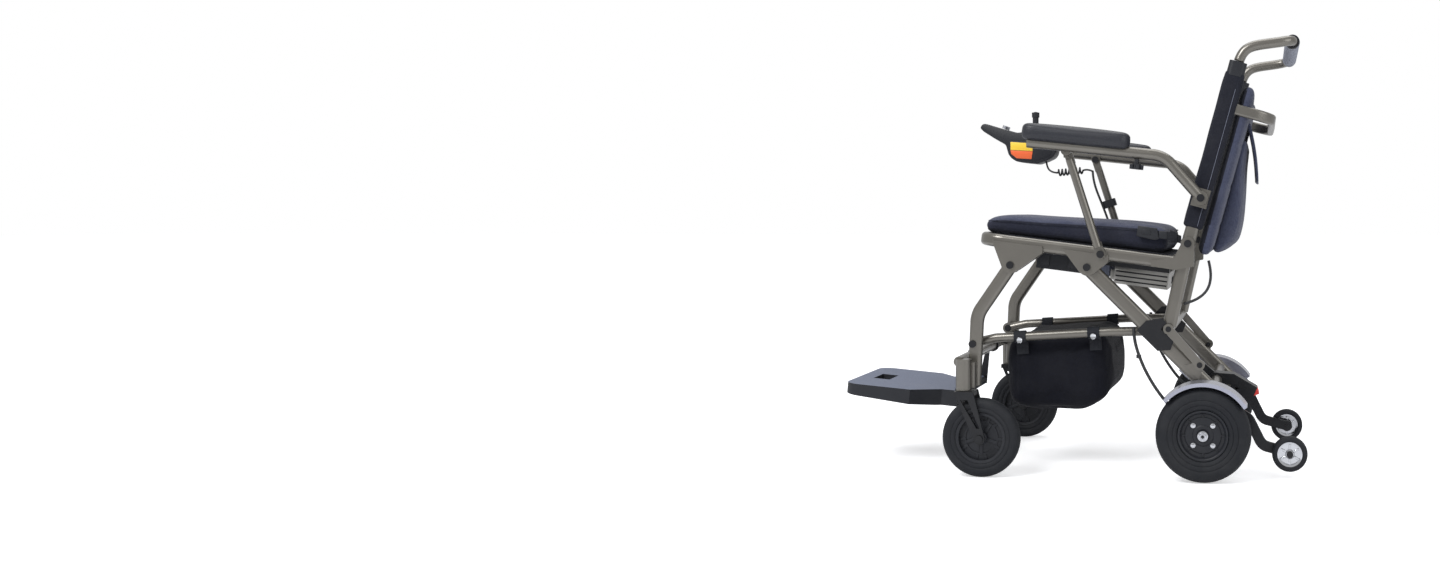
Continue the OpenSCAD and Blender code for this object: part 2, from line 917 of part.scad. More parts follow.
module bag_straps() {
    half = link_d / 2;
    band = 3;
    color(black) both_sides() for (x = strap_x)
        translate([x, link_y, link_z(x)]) rotate([0, -link_rise, 0]) {
            rotate([0, 90, 0]) difference() {
                cylinder(r = half + band, h = 26, center = true);
                cylinder(r = half + 0.2, h = 30, center = true);
            }
            translate([-13, -half - 9, -half - 30]) cube([26, 3, half + 32]);
            translate([-13, -half - 9, -2]) cube([26, 8, 4]);
        }
}

// ---- back ----

module post() {
    bar(at_y(E + 6 * unit(D - E), rail_y), at_y(D, rail_y)) flat_oval(post_w, leg_t);
    bar(at_y(D, rail_y), at_y(post_top, rail_y)) flat_oval(post_w, leg_t);
    pin(D, post_w / 2 + 1, leg_in - 0.5, leg_out + 0.5);
}

module back_frame() {
    pad_z = 20;
    g_y = arm_y - arm_tube_d / 2 - gap;
    hoop = hoop_z;
    color(frame_grey) difference() {
        union() {
            both_sides() {
                post();
                pin(E, e_bar_d / 2, leg_in - 1, leg_out);
                in_back() translate([-16, leg_out - 3, (G - D) * [cos(post_angle), sin(post_angle)] - pad_z])
                    cube([34, g_y - leg_out + 3, 2 * pad_z]);
                plate(link_y + link_d / 2 + 1, link_y + link_d / 2 + 5) {
                    translate(P) circle(11);
                    polygon([P + [0, 11], P + [3, -11], E + [2, -11], E + [-2, 11]]);
                    translate(E) circle(11);
                }
            }
            pin(E, e_bar_d / 2, -leg_in, leg_in);
            in_back() translate([0, 0, hoop]) rear_hoop();
        }
        pin(D, bolt_d / 2 + fit, -leg_out - 1, leg_out + 1);
        pin(G, bolt_d / 2, -arm_y, arm_y);
    }
    color(black) both_sides() {
        pin(G, bolt_d / 2, leg_out, arm_y + arm_tube_d / 2 + 2);
        pin(G, head_r, arm_y + arm_tube_d / 2 + gap, arm_y + arm_tube_d / 2 + gap + 5);
    }
}

// Flat U-shaped rail behind the backrest.
module rear_hoop() {
    reach = 100;
    bent(
        [
            [0, -rail_y, 0],
            [reach, -rail_y, 0],
            [reach, rail_y, 0],
            [0, rail_y, 0]
        ],
        40,
        [0, 0, 1]
    ) rounded(14, 24, 6);
}

module back_upholstery() {
    top = back_length - 34;
    g = (G - D) * [cos(post_angle), sin(post_angle)];
    color(black) in_back() difference() {
        union() {
            both_sides()
                translate([0, rail_y, sleeve_low]) linear_extrude(top - sleeve_low)
                    rounded(sleeve_w, sleeve_t, 10);
            translate([pad_w0 + pad_t / 2, 0, -20]) linear_extrude(top + 16)
                rounded(pad_t, 2 * rail_y + sleeve_t - 12, 10);
            both_sides()
                translate([10, rail_y - 12, sleeve_low]) cube([pad_w0, 20, top - sleeve_low]);
        }
        both_sides() {
            translate([0, rail_y, -1]) linear_extrude(back_length + 20)
                rounded(post_w + 0.6, leg_t + 0.6, 9);
            translate([-sleeve_w, leg_in - 0.3, g - 24]) cube([sleeve_w + 20, sleeve_t, 48]);
            translate([-sleeve_w, leg_in - 40, g - 20]) cube([sleeve_w + 14, 44, 40]);
            translate([4, rail_y - 10, hoop_z - 14]) cube([60, 20, 28]);
        }
    }
}

module back_pocket() {
    color(navy) in_back() difference() {
        translate([pocket_w0, 0, 24]) rotate([90, 0, 0])
            linear_extrude(300, center = true) polygon([
                [0, 0], [16, -34], [pocket_depth - 6, -20], [pocket_depth, 20],
                [pocket_depth - 12, 150], [pocket_depth - 32, 218], [0, 222]
            ]);
        translate([pocket_w0 + 6, -140, 30]) cube([pocket_depth - 38, 280, 240]);
    }
}

module pocket_flap() {
    w = pocket_w0;
    out = pocket_depth + 5;
    color(navy) in_back() plate(-132, 132) polygon([
        [w + 1, 284], [w + out, 163], [w + out + 4, 165], [w + 5, 286]
    ]);
}

module push_handle() {
    y = rail_y;
    start = post_top + 0.18 * (handle_bend - post_top);
    plug = post_top + 14 * unit(post_top - D);
    color(frame_grey) {
        both_sides() bar(at_y(post_top, y), at_y(plug, y)) flat_oval(post_w, leg_t);
        bent(
            [
                at_y(start, -y),
                at_y(handle_bend, -y),
                at_y(handle_rear, 4 - y),
                at_y(handle_rear, y - 4),
                at_y(handle_bend, y),
                at_y(start, y)
            ],
            26,
            [0, 0, 1]
        ) circle(d = handle_d);
    }
}

module handle_grip() {
    color(slate) difference() {
        pin(handle_rear, handle_d / 2 + 5, -grip_half, grip_half);
        pin(handle_rear, handle_d / 2, -grip_half - 1, grip_half + 1);
    }
}

module handle_fittings() {
    ring = handle_d / 2 + 4;
    color(black) {
        both_sides() {
            in_back() translate([0, rail_y, back_length - 30]) difference() {
                linear_extrude(31) rounded(post_w + 8, leg_t + 8, 11);
                translate([0, 0, -1]) linear_extrude(40) rounded(post_w + 0.4, leg_t + 0.4, 9);
            }
            difference() {
                pin(handle_rear, ring, grip_half, grip_half + 12);
                pin(handle_rear, handle_d / 2, grip_half - 1, grip_half + 13);
            }
        }
    }
}

module back_cable() {
    color(black) cable(back_cable_route, back_cable_d, 3);
}

// ---- armrests ----

module arm_tube() {
    half = arm_tube_d / 2;
    color(frame_grey) difference() {
        union() {
            bent([at_y(G, arm_y), at_y(arm_bend, arm_y), at_y(arm_front, arm_y)], 60)
                circle(d = arm_tube_d);
            pin(G, half + 3, arm_y - half + 2, arm_y + half - 2);
            plate(strut_y + 1, arm_y - 2) {
                translate(H) circle(11);
                polygon([H + [-11, 0], H + [-11, 12], H + [11, 9], H + [11, 0]]);
            }
        }
        pin(G, bolt_d / 2 + fit, arm_y - half - 1, arm_y + half + 1);
    }
    color(black) {
        pin(H, bolt_d / 2 - 1.5, strut_y - 12, strut_y + 2);
        pin(H, 8, strut_y - 14, strut_y - 11);
    }
}

module arm_pad() {
    color(black) in_arm() difference() {
        translate([-14, arm_y, arm_tube_d / 2 - 8]) linear_extrude(arm_pad_h + 8) hull_free_pad();
        translate([-60, arm_y, 0]) rotate([0, 90, 0]) cylinder(d = arm_tube_d, h = pad_len + 80);
    }
}

module hull_free_pad() {
    translate([arm_pad_w / 2, -arm_pad_w / 2]) square([pad_len - arm_pad_w, arm_pad_w]);
    for (x = [arm_pad_w / 2, pad_len - arm_pad_w / 2]) translate([x, 0]) circle(d = arm_pad_w);
}

module strut() {
    u = unit(H - B);
    lug = 6;
    low = strut_y - strut_d / 2;
    color(frame_grey) difference() {
        union() {
            bar(at_y(B + 16 * u, strut_y), at_y(H - 20 * u, strut_y)) circle(d = strut_d);
            bar(at_y(B, low + lug / 2), at_y(B + 26 * u, low + lug / 2)) square([20, lug], center = true);
            pin(B, 11, low, low + lug);
            bar(at_y(H, low + lug / 2), at_y(H - 30 * u, low + lug / 2)) square([18, lug], center = true);
            pin(H, 11, low, low + lug);
        }
        pin(B, bolt_d / 2 + fit, low - 1, low + lug + 1);
        pin(H, bolt_d / 2 + 6, low - 1, low + lug + 1);
    }
}

module star_knob() {
    below = arm_tube_d / 2;
    color(black) in_arm() translate([236, -arm_y, -below - 22]) {
        cylinder(r = 9, h = 12);
        for (i = [0 : 4]) rotate([0, 0, 72 * i]) translate([11, 0, 0]) cylinder(r = 4.5, h = 10);
        cylinder(r = 5, h = 21.6);
    }
}

// ---- joystick pod ----

module pod_outline() {
    polygon([
        [-583, 786], [-577, 796], [-566, 796], [-486, 762], [-470, 764],
        [-412, 752], [-394, 744], [-388, 722], [-396, 700], [-436, 684],
        [-488, 690], [-508, 706], [-516, 734], [-574, 776]
    ]);
}

module pod_housing() {
    color(black) difference() {
        plate(pod_y - pod_half, pod_y + pod_half) pod_outline();
        translate([stick_at[0], pod_y, stick_at[1] - 30]) cylinder(r = 19, h = 60);
        translate([stick_at[0], pod_y, stick_at[1] - 12]) rotate([0, 90, 0])
            cylinder(r = 2.5 + fit, h = 46, center = true);
        for (y = [-17, 17])
            pod_button_seat(y) translate([0, 0, -7.5]) cylinder(r = button_r + 0.3, h = 20);
        pod_button_seat(0) translate([-9, -5.5, -7]) cube([18, 11, 20]);
        in_arm() translate([-8, arm_y, 0]) rotate([0, 90, 0]) cylinder(d = arm_tube_d + 0.6, h = 60);
        in_arm() translate([-16, arm_y - 40, 2]) cube([60, 80, 60]);
    }
}

// Seats of the three buttons, in front of the stick on the sloping face.
module pod_button_seat(y) {
    slope = atan2(796 - 762, 566 - 486);
    mid = [-520, 776.5];
    translate([mid[0], pod_y + y, mid[1]]) rotate([0, slope, 0]) children();
}

module joystick_gimbal() {
    color(silver) translate([stick_at[0], pod_y, stick_at[1] - 12]) difference() {
        union() {
            sphere(r = 14);
            rotate([0, 90, 0]) cylinder(r = 2.5, h = 44, center = true);
        }
        translate([0, 0, 6]) cylinder(r = 20, h = 20);
        translate([0, 0, -26]) cylinder(r = 20, h = 20);
        rotate([90, 0, 0]) cylinder(r = 3, h = 40, center = true);
        cylinder(r = 10.5, h = 40, center = true);
    }
}

module joystick_stick() {
    color(black) translate([stick_at[0], pod_y, stick_at[1] - 12]) {
        translate([0, 0, -5]) cylinder(r = 6.5, h = 16);
        translate([0, 0, 11]) cylinder(r1 = 15, r2 = 9, h = 14);
        translate([0, 0, 20]) cylinder(r = 7.5, h = 30);
        translate([0, 0, 50]) cylinder(r = 9.5, h = 12);
        rotate([90, 0, 0]) cylinder(r = 3 - fit, h = 26, center = true);
    }
}

module pod_button(y) {
    pod_button_seat(y) translate([0, 0, -button_h]) cylinder(r = button_r, h = 2 * button_h);
}

module power_button() {
    color(silver) pod_button(-17);
}

module horn_button() {
    color(silver) pod_button(17);
}

module speed_rocker() {
    color(silver) pod_button_seat(0) {
        translate([-7.5, -5, -2]) cube([15, 10, 4.5]);
        rotate([90, 0, 0]) cylinder(r = 3, h = 10, center = true);
    }
}

module joystick_cable() {
    color(black) cable(joystick_cable_route, joystick_cable_d, 2, [1, 0, 0.3]);
}

module cable_clip() {
    u = unit(H - B);
    mid = B + 108 * u;
    color(black) difference() {
        bar(at_y(mid, strut_y), at_y(mid + 18 * u, strut_y)) rounded(strut_d + 14, strut_d + 8, 5);
        bar(at_y(mid - 2 * u, strut_y), at_y(mid + 20 * u, strut_y)) circle(d = strut_d);
    }
}

// ---- the assembly ----

at_rest() seat_frame();
at_rest() seat_sling();
at_rest() seat_cushion();
at_rest() lap_belt();
at_rest() power_module();
at_rest() junction_box();
at_rest() battery_case();
at_rest() battery_rails();
at_rest() seat_pivot_bolts();
at_rest() rear_frame();
at_rest() latch_cradles();
at_rest() fenders();
at_rest() motor_stators();
at_rest() motor_cables();
at_rest() release_pedal();
at_rest() on_side(-1) rear_tyre();  // rear_tyre_left
at_rest() on_side(1) rear_tyre();  // rear_tyre_right
at_rest() on_side(-1) rear_hub();  // rear_hub_left
at_rest() on_side(1) rear_hub();  // rear_hub_right
at_rest() on_side(-1) antitip_arm();  // antitip_arm_left
at_rest() on_side(1) antitip_arm();  // antitip_arm_right
at_rest() on_side(-1) antitip_wheel();  // antitip_wheel_left
at_rest() on_side(1) antitip_wheel();  // antitip_wheel_right
at_rest() on_side(-1) toggle_link();  // toggle_link_left
at_rest() on_side(1) toggle_link();  // toggle_link_right
at_rest() front_frame();
at_rest() footplate_bracket();
at_rest() footplate();
at_rest() on_side(-1) caster_fork();  // caster_fork_left
at_rest() on_side(1) caster_fork();  // caster_fork_right
at_rest() on_side(-1) caster_rim();  // caster_rim_left
at_rest() on_side(1) caster_rim();  // caster_rim_right
at_rest() on_side(-1) caster_tyre();  // caster_tyre_left
at_rest() on_side(1) caster_tyre();  // caster_tyre_right
at_rest() lower_links();
at_rest() storage_bag();
at_rest() bag_straps();
at_rest() back_frame();
at_rest() back_upholstery();
at_rest() back_pocket();
at_rest() pocket_flap();
at_rest() push_handle();
at_rest() handle_grip();
at_rest() handle_fittings();
at_rest() back_cable();
at_rest() on_side(-1) arm_tube();  // arm_tube_left
at_rest() on_side(1) arm_tube();  // arm_tube_right
at_rest() on_side(-1) arm_pad();  // arm_pad_left
at_rest() on_side(1) arm_pad();  // arm_pad_right
at_rest() on_side(-1) strut();  // strut_left
at_rest() on_side(1) strut();  // strut_right
at_rest() star_knob();
at_rest() pod_housing();
at_rest() joystick_gimbal();
at_rest() joystick_stick();
at_rest() power_button();
at_rest() horn_button();
at_rest() speed_rocker();
at_rest() joystick_cable();
at_rest() cable_clip();
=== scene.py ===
"""Folding power wheelchair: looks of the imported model, in metres, in the CAD frame."""

import logging
import math
from dataclasses import dataclass, field
from enum import Enum
from typing import Callable, Iterable, Sequence

import bmesh
import bpy
from bmesh.types import BMesh
from mathutils import Matrix, Vector


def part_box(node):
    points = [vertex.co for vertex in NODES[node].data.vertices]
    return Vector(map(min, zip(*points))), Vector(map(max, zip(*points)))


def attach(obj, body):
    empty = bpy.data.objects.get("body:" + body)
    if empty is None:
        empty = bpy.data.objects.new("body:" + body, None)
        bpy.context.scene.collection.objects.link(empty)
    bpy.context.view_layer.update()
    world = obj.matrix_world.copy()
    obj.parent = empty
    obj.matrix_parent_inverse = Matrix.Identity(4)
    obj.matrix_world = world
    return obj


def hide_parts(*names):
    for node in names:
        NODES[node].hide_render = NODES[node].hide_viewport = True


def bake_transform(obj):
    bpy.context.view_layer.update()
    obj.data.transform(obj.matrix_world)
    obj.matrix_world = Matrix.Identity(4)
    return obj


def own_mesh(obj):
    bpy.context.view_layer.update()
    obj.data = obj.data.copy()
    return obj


logging.basicConfig(level=logging.INFO, format="%(message)s")
LOG = logging.getLogger("wheelchair")

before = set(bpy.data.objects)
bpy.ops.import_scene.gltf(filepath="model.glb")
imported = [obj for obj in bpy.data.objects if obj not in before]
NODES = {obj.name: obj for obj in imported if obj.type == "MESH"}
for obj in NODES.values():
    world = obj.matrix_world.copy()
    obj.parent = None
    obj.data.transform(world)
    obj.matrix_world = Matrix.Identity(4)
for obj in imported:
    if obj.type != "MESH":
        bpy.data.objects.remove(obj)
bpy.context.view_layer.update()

MM = 0.001


def middle(node: str) -> Vector:
    """The centre of a CAD node's box."""
    low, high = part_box(node)
    return (low + high) / 2


AXLE_X = middle("rear_tyre_left").x
ARM_Y = middle("arm_pad_right").y
RAIL_Y = 0.210

SKY = 0.58  # light of the surroundings on the object
FLOOR_LIFT = 0.5  # glow of the floor towards the camera
LAMPS = (
    ("key", (-1.6, -2.4, 2.9), 1.5, 88),
    ("fill", (2.6, -2.0, 1.6), 2.2, 26),
    ("top", (0.2, 0.6, 3.2), 2.4, 40),
)
LAMP_AIM = Vector((0.0, 0.0, 0.45))
FOCAL_LENGTH = 32.48
SENSOR_WIDTH = 36.0
LENS_SHIFT = (-0.271, -0.0477)
CAMERA_PLACE = (125.6, -2968.6, 562.0)
CAMERA_HEADING = 6.747


def spot(x: float, y: float, z: float) -> Vector:
    """A point given in millimetres from the rear axle, as metres in the shared frame."""
    return Vector((AXLE_X + x * MM, y * MM, z * MM))


def tilted(x: float, z: float, degrees: float) -> Matrix:
    """A local frame at a point of the side view, turned about the Y axis."""
    return Matrix.Translation(spot(x, 0, z)) @ Matrix.Rotation(math.radians(degrees), 4, "Y")


def slope(rise: float, run: float) -> float:
    """The angle in degrees of a line that rises over a run."""
    return math.degrees(math.atan2(rise, run))


def from_axle(bm: BMesh) -> BMesh:
    """Moves a mesh laid out from the rear axle into the shared frame."""
    bmesh.ops.translate(bm, vec=(AXLE_X, 0, 0), verts=bm.verts)
    return bm


SEAT = tilted(-478, 506, slope(50, 412))
BACK = tilted(-34, 497, 15.5)
ARM = tilted(-372, 712, slope(31, 290))


# ---- finishes ----


class Side(Enum):
    """Which side of the chair a piece is on, by the sign of its Y."""

    LEFT = -1
    RIGHT = 1

    @property
    def word(self) -> str:
        """The side's name in lower case."""
        return self.name.lower()


class Surface(Enum):
    """Kinds of surface that a finish can have."""

    METAL = "metal"
    MOULDED = "moulded"
    RUBBER = "rubber"
    WOVEN = "woven"
    VINYL = "vinyl"


def linear(rgb: Sequence[int]) -> tuple[float, float, float, float]:
    """Turns a screen colour of 0 to 255 into a linear colour with alpha."""
    parts = [c / 255 for c in rgb]
    lin = [c / 12.92 if c <= 0.04045 else ((c + 0.055) / 1.055) ** 2.4 for c in parts]
    return (lin[0], lin[1], lin[2], 1.0)


class Graph:
    """Short calls that add and join nodes in one node tree."""

    def __init__(self, tree: bpy.types.NodeTree) -> None:
        """Keeps the tree and empties it."""
        self.tree = tree
        tree.nodes.clear()

    def add(self, kind: str, settings: dict | None = None, **inputs: object) -> bpy.types.Node:
        """Adds a node.

        Args:
            kind: Blender's name of the node type.
            settings: Properties of the node.
            inputs: Socket values or sockets to join, by name with _ for a space.

        Returns:
            The new node.
        """
        node = self.tree.nodes.new(kind)
        for key, value in (settings or {}).items():
            setattr(node, key, value)
        for key, value in inputs.items():
            socket = node.inputs[key.replace("_", " ")]
            if isinstance(value, bpy.types.NodeSocket):
                self.tree.links.new(value, socket)
            else:
                socket.default_value = value
        return node

    def maths(self, operation: str, a: object, b: object = 0.0) -> bpy.types.NodeSocket:
        """A Math node on two values, and its result."""
        node = self.tree.nodes.new("ShaderNodeMath")
        node.operation = operation
        for socket, value in zip(node.inputs, (a, b)):
            if isinstance(value, bpy.types.NodeSocket):
                self.tree.links.new(value, socket)
            else:
                socket.default_value = value
        return node.outputs[0]


def new_group(name: str, floats: dict[str, float], outputs: Sequence[str]) -> tuple:
    """Makes an empty shader group.

    Args:
        name: Name of the group.
        floats: Its number inputs, with their defaults.
        outputs: Names of its outputs; Normal is a vector and the others are numbers.

    Returns:
        The group, its graph, its input node and its output node.
    """
    group = bpy.data.node_groups.new(name, "ShaderNodeTree")
    face = group.interface
    for key, value in floats.items():
        socket = face.new_socket(key, in_out="INPUT", socket_type="NodeSocketFloat")
        socket.default_value = value
    for key in outputs:
        kind = "NodeSocketVector" if key == "Normal" else "NodeSocketFloat"
        face.new_socket(key, in_out="OUTPUT", socket_type=kind)
    graph = Graph(group)
    return group, graph, graph.add("NodeGroupInput"), graph.add("NodeGroupOutput")


def grain_group() -> bpy.types.NodeTree:
    """Fine two-scale noise: a mask for colour and a bumped normal."""
    group, graph, given, out = new_group(
        "fine_grain", {"Scale": 900.0, "Depth": 0.15}, ("Mask", "Normal")
    )
    place = graph.add("ShaderNodeTexCoord").outputs["Object"]
    fine = graph.add(
        "ShaderNodeTexNoise", Vector=place, Scale=given.outputs["Scale"], Detail=3.0, Roughness=0.6
    )
    broad = graph.add("ShaderNodeTexNoise", Vector=place, Scale=14.0, Detail=4.0, Roughness=0.55)
    bump = graph.add(
        "ShaderNodeBump",
        Strength=given.outputs["Depth"],
        Distance=0.001,
        Height=fine.outputs["Fac"],
    )
    both = graph.maths("MULTIPLY_ADD", fine.outputs["Fac"], 0.35)
    graph.tree.links.new(
        graph.maths("MULTIPLY", broad.outputs["Fac"], 0.65), both.node.inputs[2]
    )
    graph.tree.links.new(both, out.inputs["Mask"])
    graph.tree.links.new(bump.outputs["Normal"], out.inputs["Normal"])
    return group


def weave_group() -> bpy.types.NodeTree:
    """Crossed threads on any face of a piece: a thread mask and a bumped normal."""
    group, graph, given, out = new_group(
        "cloth_weave", {"Threads": 700.0, "Depth": 0.4}, ("Mask", "Normal")
    )
    place = graph.add("ShaderNodeTexCoord").outputs["Object"]
    parts = graph.add("ShaderNodeSeparateXYZ", Vector=place).outputs
    waves = [
        graph.maths("SINE", graph.maths("MULTIPLY", part, given.outputs["Threads"]))
        for part in parts
    ]
    total = graph.maths("ADD", waves[0], waves[1])
    crossed = graph.maths("MULTIPLY", total, waves[2])
    flat = graph.maths("MULTIPLY", waves[0], waves[1])
    threads = graph.maths("MULTIPLY", graph.maths("ADD", crossed, flat), 0.3)
    uneven = graph.add("ShaderNodeTexNoise", Vector=place, Scale=220.0, Detail=2.0)
    mask = graph.maths("ADD", threads, uneven.outputs["Fac"])
    bump = graph.add(
        "ShaderNodeBump", Strength=given.outputs["Depth"], Distance=0.0008, Height=mask
    )
    graph.tree.links.new(mask, out.inputs["Mask"])
    graph.tree.links.new(bump.outputs["Normal"], out.inputs["Normal"])
    return group


def pebble_group() -> bpy.types.NodeTree:
    """Leather-like cells: a mask and a bumped normal."""
    group, graph, given, out = new_group(
        "pebbled_skin", {"Scale": 420.0, "Depth": 0.25}, ("Mask", "Normal")
    )
    place = graph.add("ShaderNodeTexCoord").outputs["Object"]
    cells = graph.add("ShaderNodeTexVoronoi", Vector=place, Scale=given.outputs["Scale"])
    bump = graph.add(
        "ShaderNodeBump",
        Strength=given.outputs["Depth"],
        Distance=0.0006,
        Height=cells.outputs["Distance"],
    )
    graph.tree.links.new(cells.outputs["Distance"], out.inputs["Mask"])
    graph.tree.links.new(bump.outputs["Normal"], out.inputs["Normal"])
    return group


def dust_group() -> bpy.types.NodeTree:
    """Soft patches of dust and wear, as a mask from 0 to the amount."""
    group, graph, given, out = new_group("settled_dust", {"Amount": 0.2, "Scale": 9.0}, ("Mask",))
    place = graph.add("ShaderNodeTexCoord").outputs["Object"]
    noise = graph.add(
        "ShaderNodeTexNoise", Vector=place, Scale=given.outputs["Scale"], Detail=6.0, Roughness=0.7
    )
    shaped = graph.add(
        "ShaderNodeMapRange", {"clamp": True}, Value=noise.outputs["Fac"], **{"From_Min": 0.42}
    )
    shaped.inputs["From Max"].default_value = 0.78
    graph.tree.links.new(
        graph.maths("MULTIPLY", shaped.outputs["Result"], given.outputs["Amount"]),
        out.inputs["Mask"],
    )
    return group


@dataclass(frozen=True)
class Finish:
    """One finish of the chair and how its material is built."""

    name: str
    surface: Surface
    base: tuple[int, int, int]
    shade: tuple[int, int, int]
    roughness: float
    spread: float = 0.08
    metallic: float = 0.0
    scale: float = 900.0
    depth: float = 0.15
    dust: float = 0.1
    coat: float = 0.0
    sheen: float = 0.0
    gloss: float = 0.5

    def material(self, groups: dict[Surface, bpy.types.NodeTree]) -> bpy.types.Material:
        """Builds the finish.

        Args:
            groups: The texture group of each kind of surface.

        Returns:
            The material, made once and kept by name.
        """
        ready = bpy.data.materials.get("mat_" + self.name)
        if ready:
            return ready
        made = bpy.data.materials.new("mat_" + self.name)
        made.use_nodes = True
        graph = Graph(made.node_tree)
        kind = groups[self.surface]
        texture = graph.add("ShaderNodeGroup", {"node_tree": kind})
        texture.inputs[0].default_value = self.scale
        texture.inputs["Depth"].default_value = self.depth
        dust = graph.add("ShaderNodeGroup", {"node_tree": bpy.data.node_groups["settled_dust"]})
        dust.inputs["Amount"].default_value = self.dust
        colour = graph.add("ShaderNodeMix", {"data_type": "RGBA"})
        graph.tree.links.new(texture.outputs["Mask"], colour.inputs["Factor"])
        colour.inputs[6].default_value = linear(self.base)
        colour.inputs[7].default_value = linear(self.shade)
        dusted = graph.add("ShaderNodeMix", {"data_type": "RGBA"})
        graph.tree.links.new(dust.outputs["Mask"], dusted.inputs["Factor"])
        graph.tree.links.new(colour.outputs[2], dusted.inputs[6])
        dusted.inputs[7].default_value = linear((150, 148, 146))
        rough = graph.maths("MULTIPLY_ADD", texture.outputs["Mask"], self.spread)
        rough.node.inputs[2].default_value = self.roughness - self.spread / 2
        shader = graph.add("ShaderNodeBsdfPrincipled", Roughness=rough, Metallic=self.metallic)
        graph.tree.links.new(dusted.outputs[2], shader.inputs["Base Color"])
        graph.tree.links.new(texture.outputs["Normal"], shader.inputs["Normal"])
        shader.inputs["Coat Weight"].default_value = self.coat
        shader.inputs["Coat Roughness"].default_value = 0.18
        shader.inputs["Sheen Weight"].default_value = self.sheen
        shader.inputs["Specular IOR Level"].default_value = self.gloss
        out = graph.add("ShaderNodeOutputMaterial")
        graph.tree.links.new(shader.outputs[0], out.inputs["Surface"])
        return made


FRAME_PAINT = Finish(
    "warm_grey_paint", Surface.METAL, (124, 121, 114), (100, 97, 92), 0.3,
    metallic=0.72, scale=2600.0, depth=0.05, dust=0.05, coat=0.35,
)
SILVER_PAINT = Finish(
    "silver_lilac_paint", Surface.METAL, (176, 178, 192), (146, 148, 164), 0.26,
    metallic=0.7, scale=2200.0, depth=0.04, dust=0.08, coat=0.4,
)
ALLOY = Finish(
    "brushed_alloy", Surface.METAL, (196, 198, 204), (160, 162, 170), 0.3,
    metallic=0.9, scale=1600.0, depth=0.08, dust=0.04,
)
CHROME = Finish(
    "bright_chrome", Surface.METAL, (214, 216, 220), (190, 192, 198), 0.12,
    metallic=1.0, scale=1800.0, depth=0.02, dust=0.03,
)
BLACK_STEEL = Finish(
    "black_steel", Surface.METAL, (22, 23, 26), (34, 35, 39), 0.38,
    metallic=0.25, scale=1500.0, depth=0.08, dust=0.03, coat=0.12, gloss=0.3,
)
BLACK_PLASTIC = Finish(
    "moulded_black", Surface.MOULDED, (25, 27, 32), (36, 38, 44), 0.46,
    scale=1300.0, depth=0.18, dust=0.03, gloss=0.32,
)
SLATE_PLASTIC = Finish(
    "slate_grained", Surface.VINYL, (84, 91, 110), (108, 115, 134), 0.58,
    scale=260.0, depth=0.5, dust=0.1,
)
GRIP_FOAM = Finish(
    "grip_foam", Surface.MOULDED, (120, 124, 136), (146, 150, 162), 0.7,
    scale=1400.0, depth=0.5, dust=0.08,
)
TYRE_RUBBER = Finish(
    "tyre_rubber", Surface.RUBBER, (23, 25, 29), (35, 37, 42), 0.62,
    scale=700.0, depth=0.25, dust=0.05, gloss=0.22,
)
CABLE_RUBBER = Finish(
    "cable_rubber", Surface.RUBBER, (20, 22, 26), (32, 34, 38), 0.5,
    scale=900.0, depth=0.12, dust=0.04,
)
NAVY_CLOTH = Finish(
    "navy_cloth", Surface.WOVEN, (46, 50, 69), (72, 77, 99), 0.86,
    scale=2900.0, depth=0.55, dust=0.08, sheen=0.18, gloss=0.2,
)
DARK_CLOTH = Finish(
    "midnight_cloth", Surface.WOVEN, (28, 30, 42), (46, 49, 64), 0.88,
    scale=2900.0, depth=0.5, dust=0.05, sheen=0.12, gloss=0.15,
)
BLACK_CLOTH = Finish(
    "black_cloth", Surface.WOVEN, (20, 22, 29), (36, 38, 48), 0.84,
    scale=2500.0, depth=0.5, dust=0.04, sheen=0.06, gloss=0.14,
)
BAG_CLOTH = Finish(
    "bag_nylon", Surface.WOVEN, (9, 10, 17), (19, 21, 31), 0.68,
    scale=3400.0, depth=0.35, dust=0.02, sheen=0.03, gloss=0.12,
)
ARM_VINYL = Finish(
    "arm_vinyl", Surface.VINYL, (27, 29, 35), (42, 44, 52), 0.42,
    scale=520.0, depth=0.3, dust=0.03, coat=0.08, gloss=0.35,
)
WEBBING = Finish(
    "black_webbing", Surface.WOVEN, (22, 24, 29), (42, 44, 50), 0.78,
    scale=1900.0, depth=0.7, dust=0.04, gloss=0.2,
)
SEAM_THREAD = Finish(
    "grey_thread", Surface.WOVEN, (92, 96, 112), (120, 124, 140), 0.7,
    scale=5200.0, depth=0.4, dust=0.0,
)
RED_PLASTIC = Finish(
    "red_tip", Surface.MOULDED, (196, 40, 38), (214, 62, 54), 0.4,
    scale=1200.0, depth=0.1, dust=0.03,
)
YELLOW_PANEL = Finish(
    "yellow_panel", Surface.MOULDED, (236, 192, 44), (246, 208, 70), 0.42,
    scale=1500.0, depth=0.06, dust=0.04,
)
ORANGE_PANEL = Finish(
    "orange_panel", Surface.MOULDED, (228, 92, 40), (238, 112, 56), 0.42,
    scale=1500.0, depth=0.06, dust=0.04,
)
CASE_ALLOY = Finish(
    "case_alloy", Surface.METAL, (168, 166, 162), (146, 145, 142), 0.4,
    metallic=0.45, scale=2400.0, depth=0.02, dust=0.03,
)


class Paintshop:
    """Holds the texture groups and gives out materials."""

    def __init__(self) -> None:
        """Builds each texture group once."""
        dust_group()
        grain = grain_group()
        weave = weave_group()
        pebble = pebble_group()
        self.groups = {
            Surface.METAL: grain,
            Surface.MOULDED: grain,
            Surface.RUBBER: grain,
            Surface.WOVEN: weave,
            Surface.VINYL: pebble,
        }

    def get(self, finish: Finish) -> bpy.types.Material:
        """The material of a finish."""
        return finish.material(self.groups)


SHOP = Paintshop()


# ---- making pieces ----


